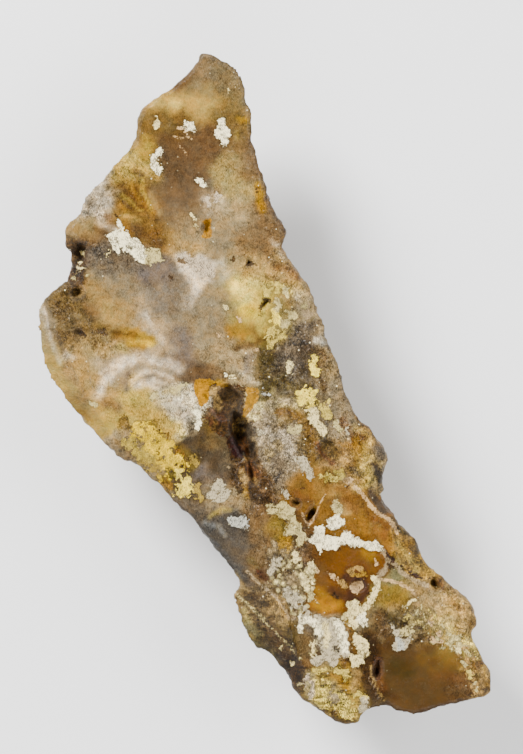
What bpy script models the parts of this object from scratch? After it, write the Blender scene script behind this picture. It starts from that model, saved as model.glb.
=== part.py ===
"""Faced rough plume agate: a broken piece of vein agate with one sawn face.

The stone lies on its rough back with the sawn face up. +Z is the face's normal, +Y runs
towards the pointed tip, and the origin is under the middle of the stone, on the surface
that it rests on. Sizes and places below are in millimetres, and meshes are in metres.
"""

import math

import bmesh
import bpy
import numpy as np
from mathutils import Matrix, Vector, noise

MM = 0.001
NAME = "faced_plume_agate"

# Driving dimensions
FACE_HEIGHT = 24.0  # the sawn face above the resting surface
WALL_SHARE = 0.42  # share of the thickness that the side walls take up
ROUND_OVER = 15.0  # the back reaches its full depth this far in from the wall
UNDERCUT = 0.28  # how far a wall leans in for each millimetre of its depth
REST_SPOT = (-4.5, -2.0, 12.5, 7.0)  # centre and half lengths of the flat that it rests on
REST_TURN = -62.0  # the spot's long axis, in degrees from +X
REST_LIFT = 0.9  # how far the back around the spot is kept off the surface
BLANK_GRAIN = 1.25  # mesh size of the first blank
GRAIN = 0.95  # mesh size of the shaped stone
KEEP = 0.13  # share of the triangles that the finished stone keeps

# The stone seen from above the face, clockwise from the tip
TIP = [(-12.8, 67.1), (-11.0, 67.3), (-8.8, 65.5), (-5.8, 63.9), (-4.2, 61.3)]
RIGHT_SHOULDER = [
    (-4.0, 58.5), (-2.8, 55.3), (-2.6, 50.1), (-1.6, 46.1), (-0.6, 41.7), (0.6, 38.7),
    (1.2, 36.3), (3.0, 33.3), (4.0, 30.7), (3.2, 29.1), (3.2, 27.7), (5.2, 24.9),
    (7.2, 22.1), (8.8, 19.7), (10.2, 16.1), (12.2, 11.1), (11.4, 10.6), (13.2, 7.7),
    (14.8, 3.9), (15.6, 1.3), (17.0, -3.9),
]
RIGHT_CRUST = [
    (18.8, -6.5), (21.2, -8.5), (23.2, -11.3), (24.6, -14.3), (23.6, -16.3), (23.4, -18.7),
    (23.8, -20.1), (22.8, -20.6), (23.2, -22.3), (24.8, -25.1), (27.0, -27.7),
    (30.2, -30.3), (30.8, -32.7), (32.0, -35.5), (35.6, -38.3),
]
LOWER_RIGHT_LOBE = [
    (38.2, -40.7), (41.2, -43.3), (42.6, -46.7), (41.2, -48.9), (41.6, -50.9),
    (43.0, -53.3), (44.2, -55.9), (45.2, -57.9), (45.4, -59.9), (44.2, -61.1),
    (40.8, -62.1), (33.2, -63.9), (30.0, -65.1), (26.8, -64.3), (25.2, -63.1),
]
LOWER_END = [
    (24.2, -62.2), (24.0, -63.5), (21.2, -63.9), (19.2, -64.9), (18.8, -66.5),
    (17.0, -67.3), (14.4, -66.5), (10.8, -63.9), (8.6, -62.3), (6.0, -59.3),
]
LOWER_LEFT_BREAK = [
    (6.0, -58.1), (2.0, -53.7), (-0.4, -52.3), (-2.0, -51.3), (-3.8, -47.9),
    (-5.4, -45.1), (-6.4, -40.7), (-4.8, -39.9), (-4.2, -39.1), (-5.2, -37.3),
]
LEFT_EDGE = [
    (-7.0, -34.5), (-10.4, -30.3), (-14.2, -25.7), (-17.2, -22.9), (-22.8, -17.3),
    (-25.2, -15.3), (-27.8, -14.1), (-33.8, -8.3), (-38.8, -3.7), (-40.8, -0.7),
    (-42.8, 2.5), (-44.2, 6.1), (-44.8, 9.7), (-45.4, 15.0),
]
LEFT_KNOBS = [
    (-44.4, 17.3), (-42.8, 18.9), (-40.8, 20.3), (-39.0, 21.1), (-39.2, 22.7),
    (-38.4, 24.1), (-38.4, 27.7), (-39.6, 29.1), (-40.0, 31.3), (-39.4, 32.7),
]
UPPER_LEFT_EDGE = [
    (-37.2, 34.1), (-36.2, 36.3), (-35.6, 38.5), (-34.0, 39.9), (-32.4, 41.1),
    (-27.2, 47.3), (-25.4, 49.7), (-25.4, 51.3), (-24.8, 53.7), (-23.8, 56.1),
    (-22.2, 57.5), (-18.6, 59.7), (-16.0, 62.1), (-14.4, 63.5), (-13.2, 65.3),
]
OUTLINE = (
    TIP + RIGHT_SHOULDER + RIGHT_CRUST + LOWER_RIGHT_LOBE + LOWER_END
    + LOWER_LEFT_BREAK + LEFT_EDGE + LEFT_KNOBS + UPPER_LEFT_EDGE
)

# The keel, the thickest line of the back: how far along Y, where in X, and how thick
KEEL = [
    (-70.0, 27.0, 14.0), (-52.0, 22.0, 18.5), (-34.0, 11.0, 21.5), (-14.0, 0.0, 24.5),
    (6.0, -10.0, 25.0), (22.0, -16.0, 20.0), (46.0, -14.0, 13.5), (70.0, -11.0, 7.5),
]
KEEL_WIDTH = 34.0  # the back thins to THIN_SHARE of the keel's depth this far to its side
THIN_SHARE = 0.6
KEEL_SHARPNESS = 1.6

# Flat breaks across the back. The stone stays above height + x_rise * x + y_rise * y
BREAKS = [
    (-9.0, -0.55, 0.10),
    (-20.0, 0.05, -0.62),
    (-26.0, 0.95, 0.30),
    (-18.5, 0.16, 0.62),
    (-19.0, -0.62, -0.42),
]
THINNEST = 3.0  # no break comes nearer to the face than this

# Slopes between the sawn face and the outline. Each has the line where it leaves the face,
# points beyond the outline that close its area, and its drop for each millimetre outward
SLOPES = {
    "left bevel": (
        [(-44.6, 19.4), (-43.2, 17.6), (-42.2, 15.0), (-41.0, 11.6), (-39.6, 8.0),
         (-38.0, 4.0), (-36.2, 0.0), (-33.6, -4.6), (-30.6, -9.2), (-27.2, -14.6)],
        [(-34.0, -22.0), (-54.0, -4.0), (-54.0, 19.4)],
        0.62,
    ),
    "lower left break": (
        [(-8.0, -35.4), (-4.4, -36.4), (-1.2, -38.9), (0.8, -40.3), (3.0, -41.7),
         (4.6, -44.7), (5.8, -48.0), (7.0, -52.0), (8.8, -55.5), (9.6, -59.0), (9.6, -64.0)],
        [(4.0, -70.0), (-16.0, -56.0), (-18.0, -38.0)],
        0.40,
    ),
    "lower left ridge": (
        [(-8.0, -38.4), (-5.6, -41.0), (5.2, -52.4), (7.0, -56.6), (7.2, -62.6)],
        [(2.0, -70.0), (-16.0, -56.0), (-18.0, -40.0)],
        0.80,
    ),
    "right crust": (
        [(18.0, -4.6), (21.0, -10.2), (21.0, -13.6), (21.8, -17.4), (20.4, -19.6),
         (22.0, -23.2), (24.8, -27.0), (25.4, -30.6), (26.2, -33.6), (28.4, -36.6),
         (31.4, -38.2), (34.6, -38.9), (39.4, -40.4)],
        [(46.0, -34.0), (34.0, -6.0)],
        0.55,
    ),
    "right lobe skin": (
        [(36.8, -38.0), (39.6, -43.0), (40.9, -46.8), (39.9, -50.0), (41.6, -54.0),
         (43.2, -58.2), (43.4, -63.6)],
        [(56.0, -63.6), (54.0, -38.0)],
        0.50,
    ),
    "upper knob": (
        [(-36.4, 36.0), (-38.0, 32.8), (-38.2, 30.6), (-37.2, 28.6)],
        [(-48.0, 27.0), (-48.0, 36.0)],
        0.55,
    ),
}

# Pits in the face: centre, half lengths, turn in degrees, and depth under the face
PITS = {
    "central hollow": (-7.2, -2.6, 3.1, 3.6, 15, 2.2),
    "central hollow floor": (-4.6, -8.6, 2.4, 4.8, 12, 4.8),
    "central hollow foot": (-2.9, -12.6, 1.7, 2.6, -8, 3.6),
    "central hollow trail": (-2.4, -17.2, 1.2, 2.9, 18, 1.5),
    "edge druse upper": (-37.4, 26.6, 2.5, 2.7, 0, 3.4),
    "edge druse lower": (-38.2, 22.6, 2.1, 1.8, 0, 4.0),
    "edge druse pocket": (-37.2, 19.2, 1.5, 1.2, 10, 2.0),
    "knob hollow": (-38.7, 29.8, 2.1, 1.0, -42, 1.7),
    "angular pit left": (-36.8, 10.9, 1.5, 0.9, -50, 1.0),
    "angular pit right": (-32.5, 11.2, 1.0, 0.7, 10, 1.0),
    "amber window": (-11.4, 32.0, 1.1, 2.0, 4, 1.0),
    "round pit": (-2.9, 25.1, 0.8, 0.8, 0, 1.4),
    "comma": (0.2, 17.2, 1.6, 0.6, 55, 1.4),
    "cup": (13.2, -12.9, 2.9, 2.6, 0, 1.7),
    "amber slit": (9.5, -25.1, 2.3, 0.8, 58, 2.4),
    "amber pit": (6.3, -22.9, 1.2, 0.8, -30, 1.6),
    "eye socket": (18.6, -39.6, 1.9, 1.5, 20, 0.9),
    "crust hole": (34.2, -39.3, 1.5, 1.2, -55, 2.8),
    "lower vug": (22.8, -55.9, 0.8, 2.5, -4, 2.2),
    "lower crack": (23.8, -60.8, 0.5, 2.1, 6, 3.2),
}
PIT_SUNK = 0.25  # the pits' balls are centred above the face by this share of their depth
PIT_UNEVEN = 0.38
PIT_LUMP = 0.75

# Uneven relief: the height of the lumps, and their size
SKIN_LUMPS = [(1.9, 17.0), (1.0, 7.0), (0.45, 3.0)]
BREAK_LUMPS = [(1.3, 10.0), (0.4, 4.0)]
SLOPE_LUMPS = [(0.45, 4.5), (0.35, 2.2)]
KNOBS = (1.5, 6.0)  # height and spacing of the round knobs of the rind
KNOB_MEAN = 0.5  # the mean height of a knob's dome, as a share of its top
KNOB_AREA = 26.0  # size of the patches of rind that have knobs
LEDGE = 4.4  # height of the ledges where the layers of the vein broke unevenly
LEDGE_TILT = (0.30, -0.22)  # how far the layers rise for each millimetre of X and of Y
LEDGE_SHARE = 0.6  # how far the slope between two ledges is drawn to them
LEDGE_STEEPNESS = 2.0  # how much steeper than the skin the step between ledges is
LEDGE_LUMPS = [(2.6, 14.0), (0.7, 5.0)]
LEDGE_AREA = 24.0  # size of the patches of rind that have ledges
PATCH_EDGE = 2.5  # how sharply a patch of knobs or ledges ends
PATCH_SHARE = 0.2  # over half of the rind has them when this is above zero
FADE = 2.2  # the skin's relief grows to its full height this far below the face
SLOPE_FADE = 2.0  # a slope's relief grows to its full height this far out

# Which noise each kind of relief reads
BREAK_SEED = 3
SLOPE_SEED = 5
SKIN_SEED = 10
KNOB_SEED = 15
LEDGE_SEED = 30
LEDGE_PATCH_SEED = 33

STONE_COLOR = (0.52, 0.40, 0.24, 1.0)
STONE_ROUGHNESS = 0.4


def segments(line, closed):
    """The starts and ends of a line's segments."""
    starts = np.array(line, float)
    if closed:
        return starts, np.roll(starts, -1, axis=0)
    return starts[:-1], starts[1:]


def nearest_on(line, points, closed=False):
    """How far each point is from a line, and the nearest place on it."""
    best = np.full(len(points), np.inf)
    place = np.zeros((len(points), 2))
    for start, end in zip(*segments(line, closed)):
        along = end - start
        share = np.clip((points - start) @ along / (along @ along), 0, 1)
        near = start + share[:, None] * along
        gap = np.linalg.norm(points - near, axis=1)
        closer = gap < best
        best[closer] = gap[closer]
        place[closer] = near[closer]
    return best, place


def inside(line, points):
    """Which points lie inside a closed line, by the number of its sides to their left."""
    crossings = np.zeros(len(points), int)
    for (x0, y0), (x1, y1) in zip(*segments(line, True)):
        if y0 == y1:
            continue
        spans = (points[:, 1] < y0) != (points[:, 1] < y1)
        at = x0 + (points[:, 1] - y0) * (x1 - x0) / (y1 - y0)
        crossings += spans & (points[:, 0] > at)
    return crossings % 2 == 1


def smooth_step(values):
    """0 below 0, 1 above 1, and a smooth curve between."""
    share = np.clip(values, 0, 1)
    return share * share * (3 - 2 * share)


def lumps(points, size, seed):
    """Smooth noise from about -1 to 1, with lumps of a given size."""
    shift = Vector((seed * 17.3, seed * 5.7, seed * 11.1))
    return np.array([noise.noise(Vector(p) / size + shift) for p in points])


def relief(points, layers, seed):
    """The height at each point of several layers of lumps."""
    height = np.zeros(len(points))
    for number, (tall, size) in enumerate(layers):
        height += tall * lumps(points, size, seed + number)
    return height


def patches(points, size, seed):
    """1 in patches of a given size, 0 between them."""
    return smooth_step(PATCH_EDGE * lumps(points, size, seed) + PATCH_SHARE)


def knobs(points):
    """Round knobs that touch each other, in patches, as on a rind of agate."""
    tall, spacing = KNOBS
    gaps = np.array([noise.voronoi(Vector(p) / spacing)[0][0] for p in points])
    domes = np.sqrt(np.clip(1 - gaps * gaps, 0, 1))
    return tall * (domes - KNOB_MEAN) * patches(points, KNOB_AREA, KNOB_SEED)


def keel_at(plan):
    """Where the keel is in X, and how thick it is, level with each point."""
    along, across, depth = np.array(KEEL).T
    return np.interp(plan[:, 1], along, across), np.interp(plan[:, 1], along, depth)


def thickness(plan):
    """How thick the stone would be at each point, away from its walls."""
    keel_x, keel_depth = keel_at(plan)
    aside = np.clip(np.abs(plan[:, 0] - keel_x) / KEEL_WIDTH, 0, 1)
    return keel_depth * (1 - (1 - THIN_SHARE) * aside**KEEL_SHARPNESS)


def coordinates(mesh):
    """The mesh's vertices in millimetres."""
    flat = np.empty(len(mesh.vertices) * 3, np.float32)
    mesh.vertices.foreach_get("co", flat)
    return flat.reshape(-1, 3).astype(float) / MM


def set_coordinates(mesh, points):
    mesh.vertices.foreach_set("co", (points * MM).astype(np.float32).ravel())
    mesh.update()


def normals(mesh):
    flat = np.empty(len(mesh.vertices) * 3, np.float32)
    mesh.vertices.foreach_get("normal", flat)
    return flat.reshape(-1, 3).astype(float)


def evaluated(source):
    """The mesh that an object has with its modifiers. The object is removed."""
    bpy.context.scene.collection.objects.link(source)
    graph = bpy.context.evaluated_depsgraph_get()
    mesh = bpy.data.meshes.new_from_object(source.evaluated_get(graph))
    mesh.transform(source.matrix_basis)
    bpy.data.objects.remove(source)
    return mesh


def weld(mesh):
    """Joins a curve's loose caps to its walls."""
    welder = bmesh.new()
    welder.from_mesh(mesh)
    bmesh.ops.remove_doubles(welder, verts=welder.verts, dist=1e-6)
    welder.to_mesh(mesh)
    welder.free()


def even_faces(mesh, grain):
    """The same shape with faces of one size."""
    work = bpy.data.objects.new("work", mesh)
    remesh = work.modifiers.new("even faces", "REMESH")
    remesh.mode = "VOXEL"
    remesh.voxel_size = grain * MM
    return evaluated(work)


def make_blank():
    """The outline as a slab with upright walls, from the resting surface to the face."""
    curve = bpy.data.curves.new("outline", "CURVE")
    curve.dimensions = "2D"
    curve.fill_mode = "BOTH"
    curve.extrude = FACE_HEIGHT / 2 * MM
    spline = curve.splines.new("POLY")
    spline.points.add(len(OUTLINE) - 1)
    for point, (x, y) in zip(spline.points, OUTLINE):
        point.co = (x * MM, y * MM, 0, 1)
    spline.use_cyclic_u = True
    slab = bpy.data.objects.new("slab", curve)
    slab.location.z = FACE_HEIGHT / 2 * MM
    mesh = evaluated(slab)
    weld(mesh)
    return even_faces(mesh, BLANK_GRAIN)


def sharpen_walls(points, reach, depth):
    """Moves points near the outline onto it, fully at the face and less below it."""
    gap, wall = nearest_on(OUTLINE, points[:, :2], closed=True)
    below = (FACE_HEIGHT - points[:, 2]) / depth
    share = np.where(gap < reach, 1 - smooth_step(below), 0)
    points[:, :2] += (wall - points[:, :2]) * share[:, None]


def shape_back(points):
    """Gives the slab its keeled back and leaning walls. The face stays where it is."""
    plan = points[:, :2].copy()
    gap, wall = nearest_on(OUTLINE, plan, closed=True)
    reach = np.clip(gap / ROUND_OVER, 0, 1)
    bulge = WALL_SHARE + (1 - WALL_SHARE) * np.sqrt(1 - (1 - reach) ** 2)
    depth = (1 - points[:, 2] / FACE_HEIGHT) * thickness(plan) * bulge
    points[:, 2] = FACE_HEIGHT - depth

    keel_x, _ = keel_at(plan)
    inward = np.stack([keel_x, plan[:, 1]], axis=1) - wall
    inward /= np.maximum(np.linalg.norm(inward, axis=1), 1)[:, None]
    lean = UNDERCUT * depth * (1 - reach) ** 2
    points[:, :2] += inward * lean[:, None]


def break_back(points):
    """Flattens the back where it broke."""
    x, y = points[:, 0], points[:, 1]
    uneven = relief(points, BREAK_LUMPS, BREAK_SEED)
    for height, x_rise, y_rise in BREAKS:
        floor = height + x_rise * x + y_rise * y + uneven
        floor = np.minimum(floor, FACE_HEIGHT - THINNEST)
        points[:, 2] = np.maximum(points[:, 2], floor)


def cut_slopes(points):
    """Lowers the face side outside each slope's line, as the breaks and the crust do."""
    plan = points[:, :2]
    uneven = relief(points, SLOPE_LUMPS, SLOPE_SEED)
    lowest = FACE_HEIGHT - thickness(plan) * WALL_SHARE
    for line, beyond, drop in SLOPES.values():
        out, _ = nearest_on(line, plan)
        surface = FACE_HEIGHT - drop * out + smooth_step(out / SLOPE_FADE) * uneven
        lowered = np.minimum(points[:, 2], np.maximum(surface, lowest))
        points[:, 2] = np.where(inside(line + beyond, plan), lowered, points[:, 2])


def roughen(mesh, points):
    """Raises the skin's lumps and knobs everywhere but on the sawn face."""
    skin = smooth_step((FACE_HEIGHT - points[:, 2]) / FADE)
    height = relief(points, SKIN_LUMPS, SKIN_SEED) + knobs(points)
    direction = normals(mesh)
    points += direction * (height * skin)[:, None]


def step_ledges(points):
    """Draws patches of the skin to ledges, which lie along the layers of the vein."""
    depth = FACE_HEIGHT - points[:, 2]
    rise = points[:, :2] @ LEDGE_TILT + relief(points, LEDGE_LUMPS, LEDGE_SEED)
    layer = (depth + rise) / LEDGE
    share = layer - np.floor(layer)
    stepped = smooth_step(LEDGE_STEEPNESS * (share - 0.5) + 0.5)
    shift = LEDGE_SHARE * (stepped - share) * LEDGE * smooth_step(depth / FADE)
    points[:, 2] -= shift * patches(points, LEDGE_AREA, LEDGE_PATCH_SEED)


def keep_within_outline(points):
    """Moves what the relief pushed past the outline back onto it."""
    plan = points[:, :2]
    _, wall = nearest_on(OUTLINE, plan, closed=True)
    past = ~inside(OUTLINE, plan)
    points[past, :2] = wall[past]


def rest(points):
    """Wears a small flat for the stone to rest on, and keeps the back around it higher."""
    x, y, along, across = REST_SPOT
    turn = math.radians(REST_TURN)
    dx, dy = points[:, 0] - x, points[:, 1] - y
    u = (dx * math.cos(turn) + dy * math.sin(turn)) / along
    v = (dy * math.cos(turn) - dx * math.sin(turn)) / across
    floor = REST_LIFT * smooth_step(np.hypot(u, v) - 1)
    points[:, 2] = np.maximum(points[:, 2], floor)


def centre_on_origin(points):
    """Puts the middle of the stone's box over the origin, and its lowest point at zero."""
    low, high = points.min(axis=0), points.max(axis=0)
    points[:, :2] -= ((low + high) / 2)[:2]


def make_stone():
    mesh = make_blank()
    points = coordinates(mesh)
    sharpen_walls(points, BLANK_GRAIN / 2, np.inf)
    shape_back(points)
    break_back(points)
    set_coordinates(mesh, points)
    mesh = even_faces(mesh, GRAIN)

    points = coordinates(mesh)
    sharpen_walls(points, GRAIN, FADE)
    roughen(mesh, points)
    step_ledges(points)
    keep_within_outline(points)
    cut_slopes(points)
    rest(points)
    points[:, 2] = np.minimum(points[:, 2], FACE_HEIGHT)
    centre_on_origin(points)
    set_coordinates(mesh, points)
    mesh.name = NAME
    return bpy.data.objects.new(NAME, mesh)


def pit_cutter(name, x, y, half_x, half_y, turn, depth):
    """An uneven ball that leaves a pit of the given size and depth in the face."""
    ball = bmesh.new()
    bmesh.ops.create_icosphere(ball, subdivisions=3, radius=1)
    for vertex in ball.verts:
        bump = noise.noise(vertex.co / PIT_LUMP + Vector((x, y, 0)))
        vertex.co *= 1 + PIT_UNEVEN * bump
    sunk = PIT_SUNK * depth
    size = Matrix.Diagonal((half_x * MM, half_y * MM, (depth + sunk) * MM, 1))
    place = Matrix.Translation((x * MM, y * MM, (FACE_HEIGHT + sunk) * MM))
    ball.transform(place @ Matrix.Rotation(math.radians(turn), 4, "Z") @ size)
    mesh = bpy.data.meshes.new(name)
    ball.to_mesh(mesh)
    ball.free()
    cutter = bpy.data.objects.new(name, mesh)
    cutter.hide_render = True
    cutter.display_type = "WIRE"
    return cutter


def cut_pits(stone, cutters):
    for name, pit in PITS.items():
        cutter = pit_cutter(name.replace(" ", "_"), *pit)
        cutters.objects.link(cutter)
        cut = stone.modifiers.new("cut " + name, "BOOLEAN")
        cut.operation = "DIFFERENCE"
        cut.solver = "EXACT"
        cut.object = cutter


def stone_material():
    material = bpy.data.materials.new("agate")
    material.use_nodes = True
    shader = material.node_tree.nodes["Principled BSDF"]
    shader.inputs["Base Color"].default_value = STONE_COLOR
    shader.inputs["Roughness"].default_value = STONE_ROUGHNESS
    shader.inputs["Metallic"].default_value = 0
    return material


def main():
    for old in list(bpy.data.objects):
        bpy.data.objects.remove(old)
    parts = bpy.data.collections.new("faced plume agate")
    cutters = bpy.data.collections.new("cutters")
    for collection in (parts, cutters):
        bpy.context.scene.collection.children.link(collection)

    stone = make_stone()
    stone.data.materials.append(stone_material())
    parts.objects.link(stone)
    fewer = stone.modifiers.new("fewer faces", "DECIMATE")
    fewer.ratio = KEEP
    cut_pits(stone, cutters)


main()
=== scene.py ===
"""Looks of the faced rough plume agate: one stone, sawn face up, on its rough back.

Lengths are in millimetres, x to the right and y up the face, as in part.py. Only the floor, the
lights and the camera's far end are in metres, and so is what Blender holds.
"""
import bmesh
import bpy
import numpy as np
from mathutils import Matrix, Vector


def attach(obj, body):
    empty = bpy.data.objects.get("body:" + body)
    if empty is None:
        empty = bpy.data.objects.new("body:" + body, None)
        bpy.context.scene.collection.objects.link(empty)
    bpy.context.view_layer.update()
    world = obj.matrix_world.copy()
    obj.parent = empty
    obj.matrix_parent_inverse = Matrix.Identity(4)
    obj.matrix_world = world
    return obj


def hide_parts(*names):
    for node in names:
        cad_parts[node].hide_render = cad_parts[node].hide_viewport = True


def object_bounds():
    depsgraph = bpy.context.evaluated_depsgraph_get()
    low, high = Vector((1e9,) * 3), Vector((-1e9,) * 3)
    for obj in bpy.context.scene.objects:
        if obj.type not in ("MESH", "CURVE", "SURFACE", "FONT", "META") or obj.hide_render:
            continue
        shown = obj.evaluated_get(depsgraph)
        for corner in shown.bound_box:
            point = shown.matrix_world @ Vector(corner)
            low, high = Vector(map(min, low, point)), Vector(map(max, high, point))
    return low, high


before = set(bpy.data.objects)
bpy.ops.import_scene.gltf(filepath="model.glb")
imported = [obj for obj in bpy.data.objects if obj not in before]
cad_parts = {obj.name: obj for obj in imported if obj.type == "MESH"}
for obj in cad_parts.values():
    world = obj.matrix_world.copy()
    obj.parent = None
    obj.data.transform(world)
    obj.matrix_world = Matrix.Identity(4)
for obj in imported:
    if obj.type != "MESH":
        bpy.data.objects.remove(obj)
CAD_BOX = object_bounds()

NODE = "faced_plume_agate"
MM = 0.001

# Mesh: GRAIN is the size of its cells, and corners closer than WELD are joined first
GRAIN = 0.46
WELD = 0.005
SMOOTHING = (0.5, -0.53) * 4

# Sawn face: what lies this near to its height and looks up this straight is put on it
FACE_HEIGHT = 24.0
FACE_SNAP = 0.35
FACE_UP = 0.9
FACE_EDGE = (0.5, 0.5)
FACE_RIM = (0.2, 0.9)

# Relief of the rough skin: lumps, knobs that come in some areas, grit, and walls that bulge.
# Each noise has a seed of its own
LUMP_HEIGHT = 0.36
LUMP_SIZE = 3.2
LUMP_LAYERS = 3
LUMP_SEED = 301
KNOB_HEIGHT = 0.42
KNOB_MEAN = 0.55
KNOB_SIZE = 1.9
KNOB_SEED = 307
AREA_SIZE = 14.0
AREA_EDGE = 0.35
AREA_SEED = 311
GRIT_HEIGHT = 0.16
GRIT_SIZE = 0.95
GRIT_SEED = 313
WALL_BULGE = 0.3

# Drifts: each warp is a noise's size and strength, and FALLOFF is how fast a drift fades
DRIFT_WARP = ((6.0, 1.5), (2.6, 1.3), (1.1, 0.6))
DRIFT_SEED = 11
FALLOFF = 1.7
LEAST_WEIGHT = 1e-30

# Washes, with a ragged edge
WASH_WARP = ((3.0, 0.5), (1.1, 0.35))
WASH_SEED = 31
WASH_RAGGED = 0.35
WASH_RAG_SIZE = 1.0
WASH_RAG_SEED = 37

# Marks: FAR is as deep outside one as is kept, a later one gives its tint from COVER inwards,
# and below MARK_DEPTH they fade
MARK_WARP = ((3.0, 0.35), (1.2, 0.18))
MARK_SEED = 51
FAR = 4.0
COVER = -0.2
MARK_DEPTH = 5.0
MARK_FADE = 0.5

# Rind: it comes in between these depths below the face, with a ragged edge
RIND_DEPTHS = (5.0, 11.0)
RIND_EDGE = 2.5
RIND_EDGE_SIZE = 5.0
RIND_SEED = 401

# Saw marks: their turn, how far they are drawn out, and where they come in round an outline
SAW_TURN = 0.76
SAW_STRETCH = 0.12
SAW_EDGE = (-0.5, 1.5)

# Shine, light under the skin, and the strength and height of the bump
IOR = 1.54
SPECULAR = 0.16
SUBSURFACE = 0.06
SUBSURFACE_RADIUS = (1.2, 0.9, 0.6)
BUMP_STRENGTH = 0.8
BUMP_HEIGHT = 0.45

# Floor
FLOOR_REACH = 1.5
FLOOR_COLOUR = (0.86, 0.86, 0.86, 1.0)
FLOOR_ROUGHNESS = 0.85

# Lights: name, place, size, power
LIGHTS = (
    ("key_light", (-0.62, 0.7, 0.62), 0.42, 45.0),
    ("fill_light", (0.85, 0.1, 0.6), 0.8, 14.3),
    ("low_light", (-0.1, -0.9, 0.55), 0.8, 10.9),
)
LIGHT_AIM = (0.0, 0.0, 0.02)
SKY_STRENGTH = 0.34

# Camera: the photo shows 5 pixels to the millimetre at the face
VIEW_CENTRE = (-0.5, 2.3)
VIEW_HEIGHT = 150.8
CAMERA_REACH = 1400.0
SENSOR = 36.0
CLIP_END = 10.0

# Palette: surface colours from 0 to 255, paler with the power GAMMA. A scratch program worked them
# out, so that each shows on the screen as a colour that was chosen by hand
GAMMA = 2.2
TINTS = {
    "taupe": (89, 73, 49),
    "bronze": (85, 66, 41),
    "coffee": (64, 47, 26),
    "khaki": (91, 77, 50),
    "wheat": (145, 116, 54),
    "hazel": (89, 70, 34),
    "antique": (82, 63, 29),
    "fawn": (119, 97, 56),
    "brass": (128, 103, 36),
    "umber": (73, 55, 34),
    "plum": (74, 59, 41),
    "custard": (141, 116, 50),
    "pearl": (133, 119, 95),
    "honey": (122, 87, 22),
    "sienna": (87, 62, 25),
    "ochre": (90, 65, 24),
    "tan": (126, 100, 55),
    "olive_sand": (124, 106, 59),
    "ash_brown": (73, 62, 47),
    "rose_grey": (135, 115, 84),
    "gold": (126, 90, 13),
    "stone": (120, 101, 68),
    "mushroom": (106, 91, 65),
    "peat": (48, 35, 18),
    "grey_brown": (75, 65, 51),
    "lilac": (86, 75, 64),
    "peach": (145, 113, 60),
    "milk": (180, 160, 129),
    "cream": (190, 165, 77),
    "butter": (234, 203, 77),
    "primrose": (202, 165, 31),
    "straw": (152, 129, 53),
    "amber": (98, 68, 24),
    "orange": (82, 53, 18),
    "rust": (84, 53, 25),
    "dark_rust": (55, 35, 22),
    "olive": (61, 51, 25),
    "dark_olive": (49, 40, 17),
    "mustard": (97, 77, 27),
    "smoke": (68, 58, 44),
    "dusk": (58, 48, 34),
    "cocoa": (64, 47, 24),
    "lobe_gold": (83, 62, 26),
    "slate": (57, 53, 47),
    "iron": (53, 44, 33),
    "black_brown": (29, 13, 13),
    "bark": (46, 32, 15),
    "porcelain": (249, 234, 184),
    "ivory": (222, 199, 133),
    "bone": (177, 159, 102),
    "chalk": (168, 154, 121),
    "snow": (169, 166, 150),
    "blush": (182, 148, 101),
    "marigold": (138, 95, 13),
    "apricot": (130, 93, 25),
    "sage": (89, 82, 52),
    "moss_brown": (75, 60, 35),
    "sand_band": (135, 102, 34),
    "grit": (113, 98, 73),
    "cave": (50, 31, 13),
}

# Patches of the rind: tint, its noise, and between which values of the noise it comes in
RIND_PATCHES = (
    ("olive_sand", (4.0, 6.0, 0.65, 61.0), 0.35, 0.65),
    ("stone", (7.0, 5.0, 0.6, 67.0), 0.5, 0.72),
    ("peat", (0.7, 4.0, 0.7, 71.0), 0.56, 0.7),
    ("smoke", (9.0, 4.0, 0.6, 73.0), 0.55, 0.7),
)


def table(*rows):
    """A table's rows. Each is written as words: its tint, its numbers, and its points as x,y."""
    parsed = []
    for row in rows:
        tint, *words = row.split()
        numbers = [float(word) for word in words if "," not in word]
        points = [tuple(map(float, word.split(","))) for word in words if "," in word]
        parsed.append((tint, *numbers, points))
    return parsed


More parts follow.
